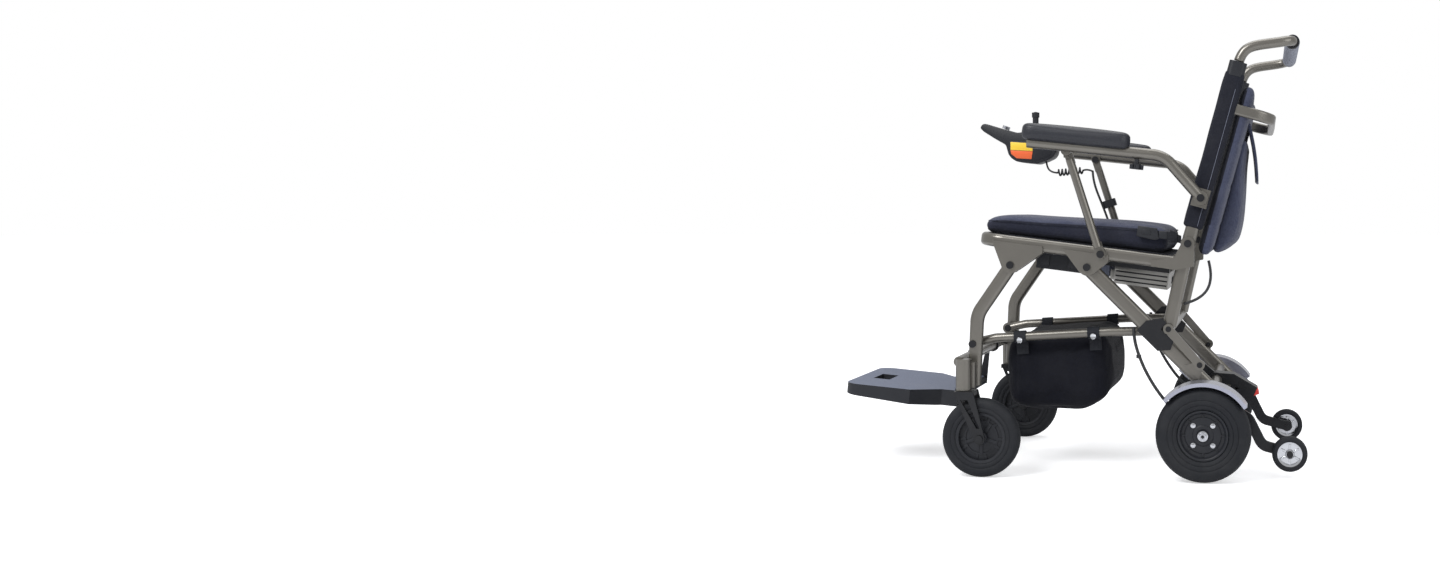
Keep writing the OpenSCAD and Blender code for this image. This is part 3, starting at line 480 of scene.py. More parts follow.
def shape_done(bm: BMesh, name: str) -> bpy.types.Mesh:
    """Closes a bmesh into a smooth mesh.

    Args:
        bm: The shape, which is freed.
        name: Name of the mesh.

    Returns:
        The mesh, with its doubles merged and its faces outward.
    """
    bmesh.ops.remove_doubles(bm, verts=bm.verts, dist=1e-6)
    bmesh.ops.recalc_face_normals(bm, faces=bm.faces)
    mesh = bpy.data.meshes.new(name)
    bm.to_mesh(mesh)
    bm.free()
    for face in mesh.polygons:
        face.use_smooth = True
    return mesh


def add_piece(
    name: str,
    shape: BMesh | bpy.types.Mesh,
    body: str,
    finishes: Sequence[Finish],
    stands_for: Iterable[str] = (),
    crease: float | None = 35.0,
) -> bpy.types.Object:
    """Makes a piece of the chair from its shape.

    Args:
        name: Name of the piece.
        shape: Its bmesh or mesh, in place.
        body: CAD body it moves with, or nothing for a piece put on no body.
        finishes: One finish for each material index of the shape.
        stands_for: CAD nodes that it replaces.
        crease: Angle in degrees past which an edge stays sharp, or None.

    Returns:
        The new object.
    """
    mesh = shape_done(shape, name) if isinstance(shape, BMesh) else shape
    piece = bpy.data.objects.new(name, mesh)
    bpy.context.scene.collection.objects.link(piece)
    for finish in finishes:
        mesh.materials.append(SHOP.get(finish))
    if crease is not None:
        split = piece.modifiers.new("creases", "EDGE_SPLIT")
        split.split_angle = math.radians(crease)
    if body:
        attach(piece, body)
    if stands_for:
        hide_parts(*stands_for)
    LOG.info("%s rides on %s", name, body or "two bodies")
    return piece


def lathe(
    profile: Sequence[tuple[float, float]], centre: Vector, steps: int = 72, closed: bool = True
) -> BMesh:
    """Spins a profile about an axis along Y.

    Args:
        profile: Points as (radius, distance along Y), in millimetres.
        centre: Middle of the axis.
        steps: Steps of the full turn.
        closed: Whether the last point joins the first.

    Returns:
        The spun shape.
    """
    bm = bmesh.new()
    verts = [bm.verts.new(centre + Vector((r * MM, y * MM, 0.0))) for r, y in profile]
    pairs = list(zip(verts, verts[1:])) + ([(verts[-1], verts[0])] if closed else [])
    edges = [bm.edges.new(pair) for pair in pairs]
    bmesh.ops.spin(
        bm, geom=verts + edges, cent=centre, axis=(0, 1, 0), angle=math.tau, steps=steps,
        use_merge=True,
    )
    return bm


def joined(parts: Sequence[BMesh]) -> BMesh:
    """One bmesh that holds all the given ones, which are freed."""
    whole = bmesh.new()
    for part in parts:
        bmesh.ops.remove_doubles(part, verts=part.verts, dist=1e-6)
        bmesh.ops.recalc_face_normals(part, faces=part.faces)
        mesh = bpy.data.meshes.new("part")
        part.to_mesh(mesh)
        part.free()
        whole.from_mesh(mesh)
        bpy.data.meshes.remove(mesh)
    return whole


def rounded_block(
    low: Sequence[float], high: Sequence[float], radius: float, cuts: int
) -> BMesh:
    """A box with round edges and a fine grid of faces.

    Args:
        low: Lowest corner in the local frame, in millimetres.
        high: Highest corner.
        radius: Radius of its edges.
        cuts: Cuts along each edge.

    Returns:
        The block, still in its local frame and in metres.
    """
    bm = bmesh.new()
    bmesh.ops.create_cube(bm, size=2.0)
    bmesh.ops.subdivide_edges(bm, edges=bm.edges, cuts=cuts, use_grid_fill=True)
    mid = Vector([(a + b) / 2 * MM for a, b in zip(low, high)])
    half = Vector([(b - a) / 2 * MM for a, b in zip(low, high)])
    r = radius * MM
    inner = Vector([max(h - r, 1e-5) for h in half])
    for vert in bm.verts:
        eased = Vector([math.sin(c * math.pi / 2) for c in vert.co])
        at = Vector([e * h for e, h in zip(eased, half)])
        core = Vector([max(-i, min(i, a)) for i, a in zip(inner, at)])
        away = at - core
        if away.length > 1e-9:
            at = core + away.normalized() * r
        vert.co = mid + at
    return bm


def settle(bm: BMesh, place: Matrix) -> BMesh:
    """Moves a local shape to its place."""
    bmesh.ops.transform(bm, matrix=place, verts=bm.verts)
    return bm


def box(low: Sequence[float], high: Sequence[float], bevel: float = 1.0) -> BMesh:
    """A bevelled box between two corners in millimetres, in metres."""
    bm = bmesh.new()
    bmesh.ops.create_cube(bm, size=1.0)
    size = [(b - a) * MM for a, b in zip(low, high)]
    mid = [(a + b) / 2 * MM for a, b in zip(low, high)]
    bmesh.ops.scale(bm, vec=size, verts=bm.verts)
    bmesh.ops.translate(bm, vec=mid, verts=bm.verts)
    if bevel:
        bmesh.ops.bevel(
            bm, geom=bm.edges, offset=bevel * MM, segments=3, profile=0.5, affect="EDGES",
            material=-1,
        )
    return bm


def slab(
    outline: Sequence[tuple[float, float]], y0: float, y1: float, bevel: float = 1.0
) -> BMesh:
    """A plate with an outline in the XZ plane.

    Args:
        outline: Points as (x, z) in millimetres.
        y0: One face's Y.
        y1: The other face's Y.
        bevel: Width of its bevelled edges.

    Returns:
        The plate, in metres, in the local frame.
    """
    bm = bmesh.new()
    face = bm.faces.new([bm.verts.new((x * MM, y0 * MM, z * MM)) for x, z in outline])
    pushed = bmesh.ops.extrude_face_region(bm, geom=[face])
    moved = [v for v in pushed["geom"] if isinstance(v, bmesh.types.BMVert)]
    bmesh.ops.translate(bm, vec=(0, (y1 - y0) * MM, 0), verts=moved)
    bmesh.ops.recalc_face_normals(bm, faces=bm.faces)
    if bevel:
        bmesh.ops.bevel(
            bm, geom=bm.edges, offset=bevel * MM, segments=2, profile=0.5, affect="EDGES",
            material=-1,
        )
    return bm


def hose(points: Sequence[Vector], radius: float, name: str, fine: int = 5) -> bpy.types.Mesh:
    """A round cable or piping through the points.

    Args:
        points: Places that it passes, in metres.
        radius: Its radius in millimetres.
        name: Name of the mesh.
        fine: Steps of roundness across it.

    Returns:
        Its closed mesh.
    """
    curve = bpy.data.curves.new(name, "CURVE")
    curve.dimensions = "3D"
    curve.bevel_depth = radius * MM
    curve.bevel_resolution = fine
    curve.use_fill_caps = True
    curve.resolution_u = 8
    line = curve.splines.new("NURBS")
    line.points.add(len(points) - 1)
    for knot, point in zip(line.points, points):
        knot.co = (*point, 1.0)
    line.use_endpoint_u = True
    line.order_u = 4
    holder = bpy.data.objects.new(name + "_line", curve)
    bpy.context.scene.collection.objects.link(holder)
    bpy.context.view_layer.update()
    ready = holder.evaluated_get(bpy.context.evaluated_depsgraph_get())
    mesh = bpy.data.meshes.new_from_object(ready)
    bpy.data.objects.remove(holder)
    bpy.data.curves.remove(curve)
    bm = bmesh.new()
    bm.from_mesh(mesh)
    bpy.data.meshes.remove(mesh)
    return shape_done(bm, name)


def press(bm: BMesh, rule: Callable[[Vector], Vector]) -> None:
    """Moves each point of a shape by a rule, from its place to its new place."""
    for vert in bm.verts:
        vert.co = rule(vert.co.copy())


def sew(bm: BMesh, distance: Callable[[Vector], float], depth: float, width: float) -> None:
    """Sinks a seam into a shape.

    Args:
        bm: The shape, with its normals up to date.
        distance: Gives a point's distance from the seam, in metres.
        depth: How deep the seam is, in millimetres.
        width: Half its width, in millimetres.
    """
    bm.normal_update()
    moves = []
    for vert in bm.verts:
        gap = distance(vert.co) / (width * MM)
        if abs(gap) < 3:
            moves.append((vert, vert.normal * (-depth * MM * math.exp(-gap * gap))))
    for vert, move in moves:
        vert.co += move


def puff(bm: BMesh, limit: float, voxel: float = 5.0, pressure: float = 4.0) -> BMesh:
    """Blows a cushion's cover up with a short cloth simulation.

    Args:
        bm: The closed cover, which is freed.
        limit: The most that a point may move, in millimetres.
        voxel: Size of the remeshed faces, in millimetres.
        pressure: Air pressure in the cover.
    """
    mesh = shape_done(bm, "cover")
    work = bpy.data.objects.new("cover", mesh)
    bpy.context.scene.collection.objects.link(work)
    remesh = work.modifiers.new("remesh", "REMESH")
    remesh.mode = "VOXEL"
    remesh.voxel_size = voxel * MM
    bpy.context.view_layer.update()
    graph = bpy.context.evaluated_depsgraph_get()
    even = bpy.data.meshes.new_from_object(work.evaluated_get(graph))
    work.modifiers.clear()
    work.data = even
    start = [v.co.copy() for v in even.vertices]
    cloth = work.modifiers.new("cloth", "CLOTH")
    cloth.settings.use_pressure = True
    cloth.settings.uniform_pressure_force = pressure
    cloth.settings.effector_weights.gravity = 0.0
    cloth.settings.quality = 5
    scene = bpy.context.scene
    for step in range(1, 21):
        scene.frame_set(step)
    graph = bpy.context.evaluated_depsgraph_get()
    blown = bpy.data.meshes.new_from_object(work.evaluated_get(graph))
    out = bmesh.new()
    out.from_mesh(blown)
    out.verts.ensure_lookup_table()
    for vert, home in zip(out.verts, start):
        move = vert.co - home
        if move.length > limit * MM:
            vert.co = home + move.normalized() * limit * MM
    scene.frame_set(1)
    bpy.data.objects.remove(work)
    bmesh.ops.smooth_vert(
        out, verts=out.verts, factor=0.5, use_axis_x=True, use_axis_y=True, use_axis_z=True
    )
    return out


def plump(piece: bpy.types.Object) -> None:
    """Rounds a padded piece with one subdivision.

    Args:
        piece: The cushion, pad or bag.
    """
    smooth = piece.modifiers.new("rounding", "SUBSURF")
    smooth.levels = 1
    smooth.render_levels = 1


def dress(
    node: str, finish: Finish, crease: float = 32.0, bevel: float = 0.0
) -> bpy.types.Object:
    """Gives a CAD node its finish and clean shading.

    Args:
        node: Name of the node.
        finish: Its finish.
        crease: Angle in degrees past which an edge stays sharp.
        bevel: Width of its rounded edges in millimetres, or 0.

    Returns:
        The node's object.
    """
    obj = NODES[node]
    mesh = obj.data
    for name in ("custom_normal", "sharp_edge", "sharp_face"):
        if name in mesh.attributes:
            mesh.attributes.remove(mesh.attributes[name])
    for face in mesh.polygons:
        face.use_smooth = True
    mesh.materials.clear()
    mesh.materials.append(SHOP.get(finish))
    weld = obj.modifiers.new("weld", "WELD")
    weld.merge_threshold = 2e-5
    if bevel:
        edge = obj.modifiers.new("bevel", "BEVEL")
        edge.width = bevel * MM
        edge.segments = 2
        edge.limit_method = "ANGLE"
        edge.angle_limit = math.radians(50)
        edge.use_clamp_overlap = True
    split = obj.modifiers.new("creases", "EDGE_SPLIT")
    split.split_angle = math.radians(crease)
    return obj


def repaint(obj: bpy.types.Object, finish: Finish, where: Callable[[Vector, Vector], bool]) -> None:
    """Puts a second finish on some faces.

    Args:
        obj: The piece or node.
        finish: The other finish.
        where: Tells from a face's centre and normal whether it takes the finish.
    """
    mesh = obj.data
    mesh.materials.append(SHOP.get(finish))
    index = len(mesh.materials) - 1
    for face in mesh.polygons:
        if where(face.center, face.normal):
            face.material_index = index


def near_axis(point: Vector, x: float, z: float, radius: float) -> bool:
    """Whether a point is within a radius, in millimetres, of a pivot axis."""
    at = spot(x, 0, z)
    return math.hypot(point.x - at.x, point.z - at.z) < radius * MM


# ---- wheels ----


def both_flanks(half: Sequence[tuple[float, float]]) -> list[tuple[float, float]]:
    """A tyre's profile from its half, mirrored about the middle plane."""
    return [(r, -y) for r, y in half] + [(r, y) for r, y in reversed(half) if y > 0.01]


@dataclass
class RearWheel:
    """A drive wheel: tyre, hub motor shell, bolts and axle nut."""

    side: Side
    bolt_circle: float = 29.0
    half_tyre: list[tuple[float, float]] = field(
        default_factory=lambda: [
            (53.5, 20.5), (55.5, 23.6), (59.0, 25.0), (62.4, 25.4), (63.4, 24.4), (64.6, 25.6),
            (70.0, 26.0), (73.0, 26.0), (74.0, 24.9), (75.2, 26.0), (81.0, 25.8), (86.5, 24.8),
            (91.0, 22.6), (94.6, 19.4), (97.2, 15.2), (98.8, 10.6), (99.5, 7.4), (98.2, 6.9),
            (98.2, 5.6), (99.7, 5.1), (100.0, 2.4), (98.6, 1.9), (98.6, 0.0),
        ]
    )
    hub: list[tuple[float, float]] = field(
        default_factory=lambda: [
            (9.8, -21.8), (30.0, -22.0), (53.4, -21.0), (53.4, 20.6), (52.4, 22.2), (49.6, 22.6),
            (47.8, 21.2), (46.4, 15.6), (44.6, 13.6), (38.6, 12.8), (37.4, 14.4), (36.2, 14.8),
            (22.4, 15.2), (21.2, 16.6), (20.0, 17.4), (14.0, 17.8), (12.6, 16.8), (9.8, 16.6),
        ]
    )

    def centre(self) -> Vector:
        """Middle of the wheel."""
        return middle("rear_tyre_" + self.side.word)

    def around(self, bm: BMesh, radius: float, turn: float, out: float) -> BMesh:
        """Moves a shape made round the origin to a place on the hub's face.

        Args:
            bm: The shape, with its height along Z.
            radius: Distance from the axle in millimetres.
            turn: Angle about the axle in degrees.
            out: Height above the wheel's middle plane in millimetres.

        Returns:
            The moved shape.
        """
        away = self.side.value
        bmesh.ops.rotate(
            bm, verts=bm.verts, cent=(0, 0, 0), matrix=Matrix.Rotation(-away * math.pi / 2, 3, "X")
        )
        a = math.radians(turn)
        at = Vector((radius * math.cos(a), away * out, radius * math.sin(a))) * MM
        bmesh.ops.translate(bm, vec=self.centre() + at, verts=bm.verts)
        return bm

    def nut(self, radius: float, height: float, sides: int = 6) -> BMesh:
        """A bevelled nut or bolt head at the origin, along Z."""
        bm = bmesh.new()
        bmesh.ops.create_cone(
            bm, cap_ends=True, segments=sides, radius1=radius * MM, radius2=radius * MM,
            depth=height * MM,
        )
        bmesh.ops.bevel(
            bm, geom=bm.edges, offset=0.5 * MM, segments=2, profile=0.5, affect="EDGES",
            material=-1,
        )
        return bm

    def build(self) -> None:
        """Makes the tyre, the hub shell, its bolts, the nut and a black disc of painted shade for
        the nut's hole.
        """
        word, centre = self.side.word, self.centre()
        body = "rear_wheel_" + word
        add_piece(
            "tyre_drive_" + word, lathe(both_flanks(self.half_tyre), centre, 112), body,
            [TYRE_RUBBER], ["rear_tyre_" + word], 48,
        )
        shell = lathe([(r, y * self.side.value) for r, y in self.hub], centre, 96)
        ribs = [self.around(box((-1.6, -4.6, -1.2), (1.6, 4.6, 1.2), 0.6), 41.2, a, 14.2)
                for a in range(0, 360, 45)]
        for rib, turn in zip(ribs, range(0, 360, 45)):
            bmesh.ops.rotate(
                rib, verts=rib.verts, cent=self.rib_spot(41.2, turn, 14.2),
                matrix=Matrix.Rotation(math.radians(90 - turn), 3, "Y"),
            )
        add_piece(
            "hub_shell_" + word, joined([shell, *ribs]), body,
            [BLACK_PLASTIC], ["rear_hub_" + word], 38,
        )
        bolts = []
        for turn in (45, 135, 225, 315):
            bolts.append(self.around(self.nut(5.4, 1.2, 24), self.bolt_circle, turn, 15.6))
            bolts.append(self.around(self.nut(3.8, 3.4), self.bolt_circle, turn, 17.2))
        add_piece("hub_bolts_" + word, joined(bolts), body, [CHROME], (), 38)
        nuts = [
            self.around(self.nut(11.0, 1.6, 32), 0, 0, 25.4),
            self.around(self.nut(8.6, 5.6), 0, 0, 28.2),
        ]
        # A small black disc on top of the nut: painted shade for the dark hole at the nut's centre.
        end = self.around(self.nut(3.4, 1.2, 24), 0, 0, 32.4)
        add_piece("painted_hole_shade_" + word, end, "rear_legs", [BLACK_STEEL], (), 38)
        add_piece("axle_nut_" + word, joined(nuts), "rear_legs", [CHROME], (), 38)

    def rib_spot(self, radius: float, turn: float, out: float) -> Vector:
        """Centre of a rib on the hub's face."""
        a = math.radians(turn)
        away = Vector((radius * math.cos(a), self.side.value * out, radius * math.sin(a)))
        return self.centre() + away * MM


@dataclass
class CasterWheel:
    """A front wheel: tyre and spoked rim."""

    side: Side
    spokes: int = 5
    half_tyre: list[tuple[float, float]] = field(
        default_factory=lambda: [
            (53.6, 14.0), (55.4, 16.4), (59.5, 17.4), (63.0, 17.6), (64.0, 16.7), (65.0, 17.8),
            (72.0, 17.9), (74.6, 17.4), (78.4, 15.4), (81.4, 12.2), (83.2, 8.0), (84.0, 4.4),
            (82.9, 3.9), (82.9, 2.6), (84.0, 2.1), (84.0, 0.0),
        ]
    )

    def build(self) -> None:
        """Makes the tyre and the rim with its Y-shaped spokes, backed by a dark disc of painted
        shade.
        """
        word = self.side.word
        centre = middle("caster_tyre_" + word)
        body = "caster_wheel_" + word
        add_piece(
            "tyre_caster_" + word, lathe(both_flanks(self.half_tyre), centre, 104), body,
            [TYRE_RUBBER], ["caster_tyre_" + word], 48,
        )
        ring = lathe([(47.5, -13), (53.6, -14.6), (53.6, 14.6), (47.5, 13), (49, 0)], centre, 96)
        inner = lathe([(33.5, -4.5), (36.5, -4.5), (36.5, 4.5), (33.5, 4.5)], centre, 72)
        hub = lathe(
            [(5.2, -17.4), (12.4, -17.4), (14.0, -15.8), (14.6, -8), (14.6, 8), (14.0, 15.8),
             (12.4, 17.4), (5.2, 17.4)], centre, 64,
        )
        # A dark disc across the openings between the spokes: painted shade, standing in for the
        # dark seen through the open rim.
        shade_disc = lathe([(12, -2.2), (50, -2.2), (50, 2.2), (12, 2.2)], centre, 72)
        arms = []
        for k in range(self.spokes):
            for low, high, lean in (
                ((10, -5, -3.6), (35, 5, 3.6), 0), ((33, -4, -3.4), (51, 4, 3.4), 13),
                ((33, -4, -3.4), (51, 4, 3.4), -13),
            ):
                arm = box((low[0], low[1], low[2]), (high[0], high[1], high[2]), 1.2)
                turn = math.radians(360 / self.spokes * k + 90 + lean)
                bmesh.ops.rotate(
                    arm, verts=arm.verts, cent=(0, 0, 0), matrix=Matrix.Rotation(turn, 3, "Y")
                )
                bmesh.ops.translate(arm, vec=centre, verts=arm.verts)
                arms.append(arm)
        add_piece(
            "spoked_rim_" + word, joined([ring, inner, hub, shade_disc, *arms]), body,
            [BLACK_PLASTIC], ["caster_rim_" + word], 38,
        )


@dataclass
class AntitipWheel:
    """A small rear wheel: rubber tread and bright spoked hub."""

    side: Side
    half_tyre: list[tuple[float, float]] = field(
        default_factory=lambda: [
            (26.0, 8.6), (27.0, 10.2), (29.0, 10.9), (32.0, 10.9), (34.6, 9.8), (36.6, 7.4),
            (37.4, 4.0), (37.5, 0.0),
        ]
    )

    def build(self) -> None:
        """Makes the tread and the hub."""
        word = self.side.word
        centre = middle("antitip_wheel_" + word)
        body = "antitip_wheel_" + word
        add_piece(
            "tread_antitip_" + word, lathe(both_flanks(self.half_tyre), centre, 80), body,
            [TYRE_RUBBER], ["antitip_wheel_" + word], 48,
        )
        ring = lathe([(22.4, -8.2), (26.2, -9.2), (26.2, 9.2), (22.4, 8.2)], centre, 72)
        cup = lathe(
            [(4.3, -8.6), (8.2, -8.6), (9.4, -7.4), (9.4, 7.4), (8.2, 8.6), (4.3, 8.6)], centre, 48
        )
        arms = []
        for k in range(6):
            arm = box((7.5, -4.6, -2.2), (24, 4.6, 2.2), 0.9)
            bmesh.ops.rotate(
                arm, verts=arm.verts, cent=(0, 0, 0),
                matrix=Matrix.Rotation(math.radians(60 * k + 30), 3, "Y"),
            )
            bmesh.ops.translate(arm, vec=centre, verts=arm.verts)
            arms.append(arm)
        back = lathe([(9, -1.5), (23.5, -1.5), (23.5, 1.5), (9, 1.5)], centre, 64)
        add_piece(
            "bright_hub_" + word, joined([ring, cup, back, *arms]), body, [CHROME],
            (), 38,
        )


# ---- seat and back ----


def ramp(value: float, low: float, high: float) -> float:
    """0 below low, 1 above high and smooth between them."""
    t = max(0.0, min(1.0, (value - low) / (high - low)))
    return t * t * (3 - 2 * t)


@dataclass
class Seat:
    """Seat cushion with its piping, and the lap belt's buckle and strap."""

    length: float = 399.0
    half: float = 184.0
    base: float = 15.5

    def top(self, x: float) -> float:
        """Height of the cushion's top at a distance from its front, in millimetres."""
        return self.base + 38 + 17 * ramp(x, 30, 370) - 6 * (1 - ramp(x, -8, 50))

    def cushion(self) -> None:
        """Makes the crowned cushion with its boxed side and base line."""
        bm = rounded_block((-8, -self.half, 0), (self.length, self.half, 40), 15, 34)

        def lift(at: Vector) -> Vector:
            x, y, z = at / MM
            u, v = 2 * x / self.length - 1, y / self.half
            dome = max(0.0, 1 - u ** 4) * max(0.0, 1 - v ** 4)
            pull = 2.5 * max(0.0, 1 - abs(z - 20) / 20)
            height = self.top(x) - self.base - 3
            z = self.base + z / 40 * height + 4 * dome * ramp(z, 18, 40)
            side = 1 if y > 0 else -1
            y -= side * pull * ramp(abs(v), 0.93, 1.0) * (1 - abs(u) ** 6)
            return Vector((x, y, z)) * MM

        press(bm, lift)
        bm = puff(bm, 5.0)
        sew(bm, lambda p: p.z - (self.top(p.x / MM) - 9.0) * MM, 1.3, 1.6)
        sew(bm, lambda p: p.z - (self.base + 8) * MM, 1.6, 1.6)
        settle(bm, SEAT)
        piece = add_piece(
            "cushion_cover", bm, "seat", [NAVY_CLOTH], ["seat_cushion"], None
        )
        back = SEAT.inverted()
        repaint(
            piece, DARK_CLOTH,
            lambda c, n: (back @ c).z < (self.top((back @ c).x / MM) - 9.0) * MM,
        )
        repaint(piece, BLACK_CLOTH, lambda c, n: (back @ c).z < (self.base + 8) * MM)
        plump(piece)
        edge = self.outline(lambda x: self.top(x) - 8.6, -1.6)
        add_piece(
            "cushion_piping", hose(edge, 1.5, "cushion_piping"), "seat",
            [DARK_CLOTH], (), None,
        )

    def outline(self, height: Callable[[float], float], out: float) -> list[Vector]:
        """Points round the cushion's side.

        Args:
            height: Gives the height at a distance from the front, in millimetres.
            out: How far outside the cushion the line runs.

        Returns:
            The points in the shared frame, ending where they began.
        """
        far, near, y, r = self.length + out - 3, -5 - out, self.half + out - 1.5, 26
        flat = [(near + r, -y)]
        flat += [(x, -y) for x in range(50, 375, 40)]
        for cx, cy, start in ((far - r, -y + r, -90), (far - r, y - r, 0)):
            for k in range(5):
                a = math.radians(start + 22.5 * k)
                flat.append((cx + r * math.cos(a), cy + r * math.sin(a)))
        flat += [(x, y) for x in range(360, 30, -40)]
        for cx, cy, start in ((near + r, y - r, 90), (near + r, -y + r, 180)):
            for k in range(5):
                a = math.radians(start + 22.5 * k)
                flat.append((cx + r * math.cos(a), cy + r * math.sin(a)))
        return [SEAT @ (Vector((x, yy, height(x))) * MM) for x, yy in flat]

    def belt(self) -> None:
        """Makes the buckle and the strap beside the cushion."""
        y0 = -self.half - 10.0
        buckle = slab(
            [(-147, 512), (-143, 535), (-102, 529), (-97, 506), (-106, 503)], y0, y0 + 9, 2
        )
        tongue = slab(
            [(-98, 507), (-98, 524), (-84, 522), (-80, 518), (-80, 505)], y0 + 1, y0 + 7, 1.4
        )
        key = slab([(-134, 517), (-132, 528), (-116, 526), (-116, 515)], y0 - 1.6, y0 + 2, 0.8)
        add_piece(
            "belt_buckle", self.shifted([buckle, tongue, key]), "seat",
            [BLACK_PLASTIC], ["lap_belt"], 38,
        )
        strap = slab(
            [(-82, 505), (-82, 521), (-66, 519), (-50, 513), (-50, 496), (-66, 501)],
            y0 + 2.5, y0 + 5.5, 0.6,
        )
        fold = slab([(-74, 500), (-74, 525), (-58, 519), (-58, 497)], y0 + 1, y0 + 7.5, 1.2)
        add_piece(
            "belt_strap", self.shifted([strap, fold]), "seat", [WEBBING], (), 38
        )

    def shifted(self, parts: Sequence[BMesh]) -> BMesh:
        """Joins slabs drawn from the rear axle and moves them into the shared frame."""
        whole = joined(parts)
        from_axle(whole)
        return whole

    def build(self) -> None:
        """Makes the seat's soft pieces."""
        self.cushion()
        self.belt()


@dataclass
class Backrest:
    """Post sleeves, back pad, rear pocket with its flap, and the handle grip."""

    height: float = 376.0
    pad_half: float = 216.0
    pocket_half: float = 149.0
    pocket_deep: float = 45.0
    flap_half: float = 131.0
    flap_length: float = 121.0

    def sleeves(self) -> None:
        """Makes the cloth sleeves over both posts."""
        parts = []
        for side in Side:
            y = RAIL_Y / MM * side.value
            bm = rounded_block((-21.6, y - 13, 34), (21.6, y + 13, self.height), 9, 24)

            def ease(at: Vector) -> Vector:
                ripple = math.sin(at.z / MM / 17.0) * 0.35 + math.sin(at.z / MM / 41.0) * 0.5
                at.x += ripple * MM * (1 if at.x > 0 else -1)
                return at

            press(bm, ease)
            sew(bm, lambda p: p.x - 9.5 * MM, 0.9, 1.3)
            sew(bm, lambda p: p.z - (self.height - 12) * MM, 0.9, 1.5)
            sew(bm, lambda p: p.z - 46 * MM, 0.9, 1.5)
            parts.append(settle(bm, BACK))
        piece = add_piece(
            "post_sleeves", joined(parts), "back", [BLACK_CLOTH],
            ["back_upholstery"], None,
        )
        plump(piece)
        lines = []
        for side in Side:
            y = (RAIL_Y / MM + 13.0) * side.value
            route = [BACK @ (Vector((9.5, y, z)) * MM) for z in range(40, 360, 20)]
            mesh = hose(route, 0.55, "sleeve_seam", 2)
            bm = bmesh.new()
            bm.from_mesh(mesh)
            lines.append(bm)
        add_piece("sleeve_seams", joined(lines), "back", [SEAM_THREAD], (), None)

    def pad(self) -> None:
        """Makes the padded panel behind the posts, with sewn channels."""
        bm = rounded_block((25, -self.pad_half, -18), (48, self.pad_half, 358), 10, 36)

        def shape(at: Vector) -> Vector:
            x, y, z = at / MM
            v, w = y / self.pad_half, (z - 170) / 188
            dome = max(0.0, 1 - v ** 4) * max(0.0, 1 - w ** 4)
            if x > 36:
                x += 1.5 * dome
            z += -9 * (1 - v * v) * ramp(z, 300, 358)
            y *= 1 - 0.035 * (1 - ramp(z, -18, 60))
            return Vector((x, y, z)) * MM

        press(bm, shape)
        bm = puff(bm, 4.0)
        for level in (52, 142, 232, 316):
            sew(bm, lambda p, h=level: p.z - h * MM, 1.6, 2.2)
        for column in (-178, 178):
            sew(bm, lambda p, c=column: p.y - c * MM, 1.4, 2.0)
        settle(bm, BACK)
        piece = add_piece("back_pad", bm, "back", [NAVY_CLOTH], (), None)
        inward = BACK.inverted()
        repaint(piece, BLACK_CLOTH, lambda c, n: (inward @ c).x < 33 * MM)
        plump(piece)

    def pocket(self) -> None:
        """Makes the pocket that bulges rearward and comes to a point below."""
        deep = self.pocket_deep
        bm = rounded_block((49, -self.pocket_half, -8), (49 + deep, self.pocket_half, 250), 15, 32)

        def shape(at: Vector) -> Vector:
            x, y, z = at / MM
            v = y / self.pocket_half
            share = 0.3 + 0.7 * ramp(250 - z, 0, 200)
            share *= 0.5 + 0.5 * ramp(z, -8, 34)
            x = 49 + (x - 49) * share * (1 - 0.22 * v ** 4)
            x += 0.7 * math.sin(y / 21.0) * math.sin(z / 33.0) * ramp(x, 60, 80)
            y *= 1 - 0.05 * (1 - ramp(z, -8, 50))
            return Vector((x, y, z)) * MM

        press(bm, shape)
        bm = puff(bm, 4.0)
        sew(bm, lambda p: p.z - 226 * MM, 1.2, 1.6)
        sew(bm, lambda p: p.z - 30 * MM, 1.2, 1.6)
        for column in (-132, 132):
            sew(bm, lambda p, c=column: p.y - c * MM, 1.3, 1.8)
        settle(bm, BACK)
        piece = add_piece(
            "rear_pocket", bm, "back", [NAVY_CLOTH], ["back_pocket"], None
        )
        plump(piece)

    def flap(self) -> None:
        """Makes the flap that falls from the pocket's mouth to a free end."""
        bm = rounded_block(
            (0, -self.flap_half, 0), (8.0, self.flap_half, self.flap_length), 3.2, 34
        )

        def hang(at: Vector) -> Vector:
            x, y, z = at / MM
            t = 1 - z / self.flap_length
            v = y / self.flap_half
            corner = max(0.0, t - 0.72) / 0.28
            y *= 1 - 0.13 * corner * corner
            x *= 1.2 - 0.55 * t
            x += 47 + 54 * t + 4 * math.sin(math.pi * t) + 1.4 * math.sin(y / 26.0) * t
            z = 285 - self.flap_length * t + 3.0 * v * v * t
            return Vector((x, y, z)) * MM

        sew_edge = 7.0
        sew(bm, lambda p: p.z - sew_edge * MM, 0.5, 1.2)
        for s in (-1, 1):
            sew(bm, lambda p, s=s: p.y - s * (self.flap_half - sew_edge) * MM, 0.5, 1.2)
        press(bm, hang)
        settle(bm, BACK)
        add_piece("flap_cloth", bm, "flap", [NAVY_CLOTH], ["pocket_flap"], None)

    def grip(self) -> None:
        """Makes the ribbed foam grip of the push handle."""
        half = 164.0
        profile = [(11.3, -half), (15.2, -half), (16.0, -half + 1.5)]
        y = -half + 4.0
        while y < half - 4:
            profile += [(16.0, y), (15.5, y + 0.8), (15.5, y + 1.6), (16.0, y + 2.4)]
            y += 6.0
        profile += [(16.0, half - 1.5), (15.2, half), (11.3, half)]
        centre = middle("handle_grip")
        add_piece(
            "foam_grip", lathe(profile, centre, 40), "back", [GRIP_FOAM],
            ["handle_grip"], 50,
        )

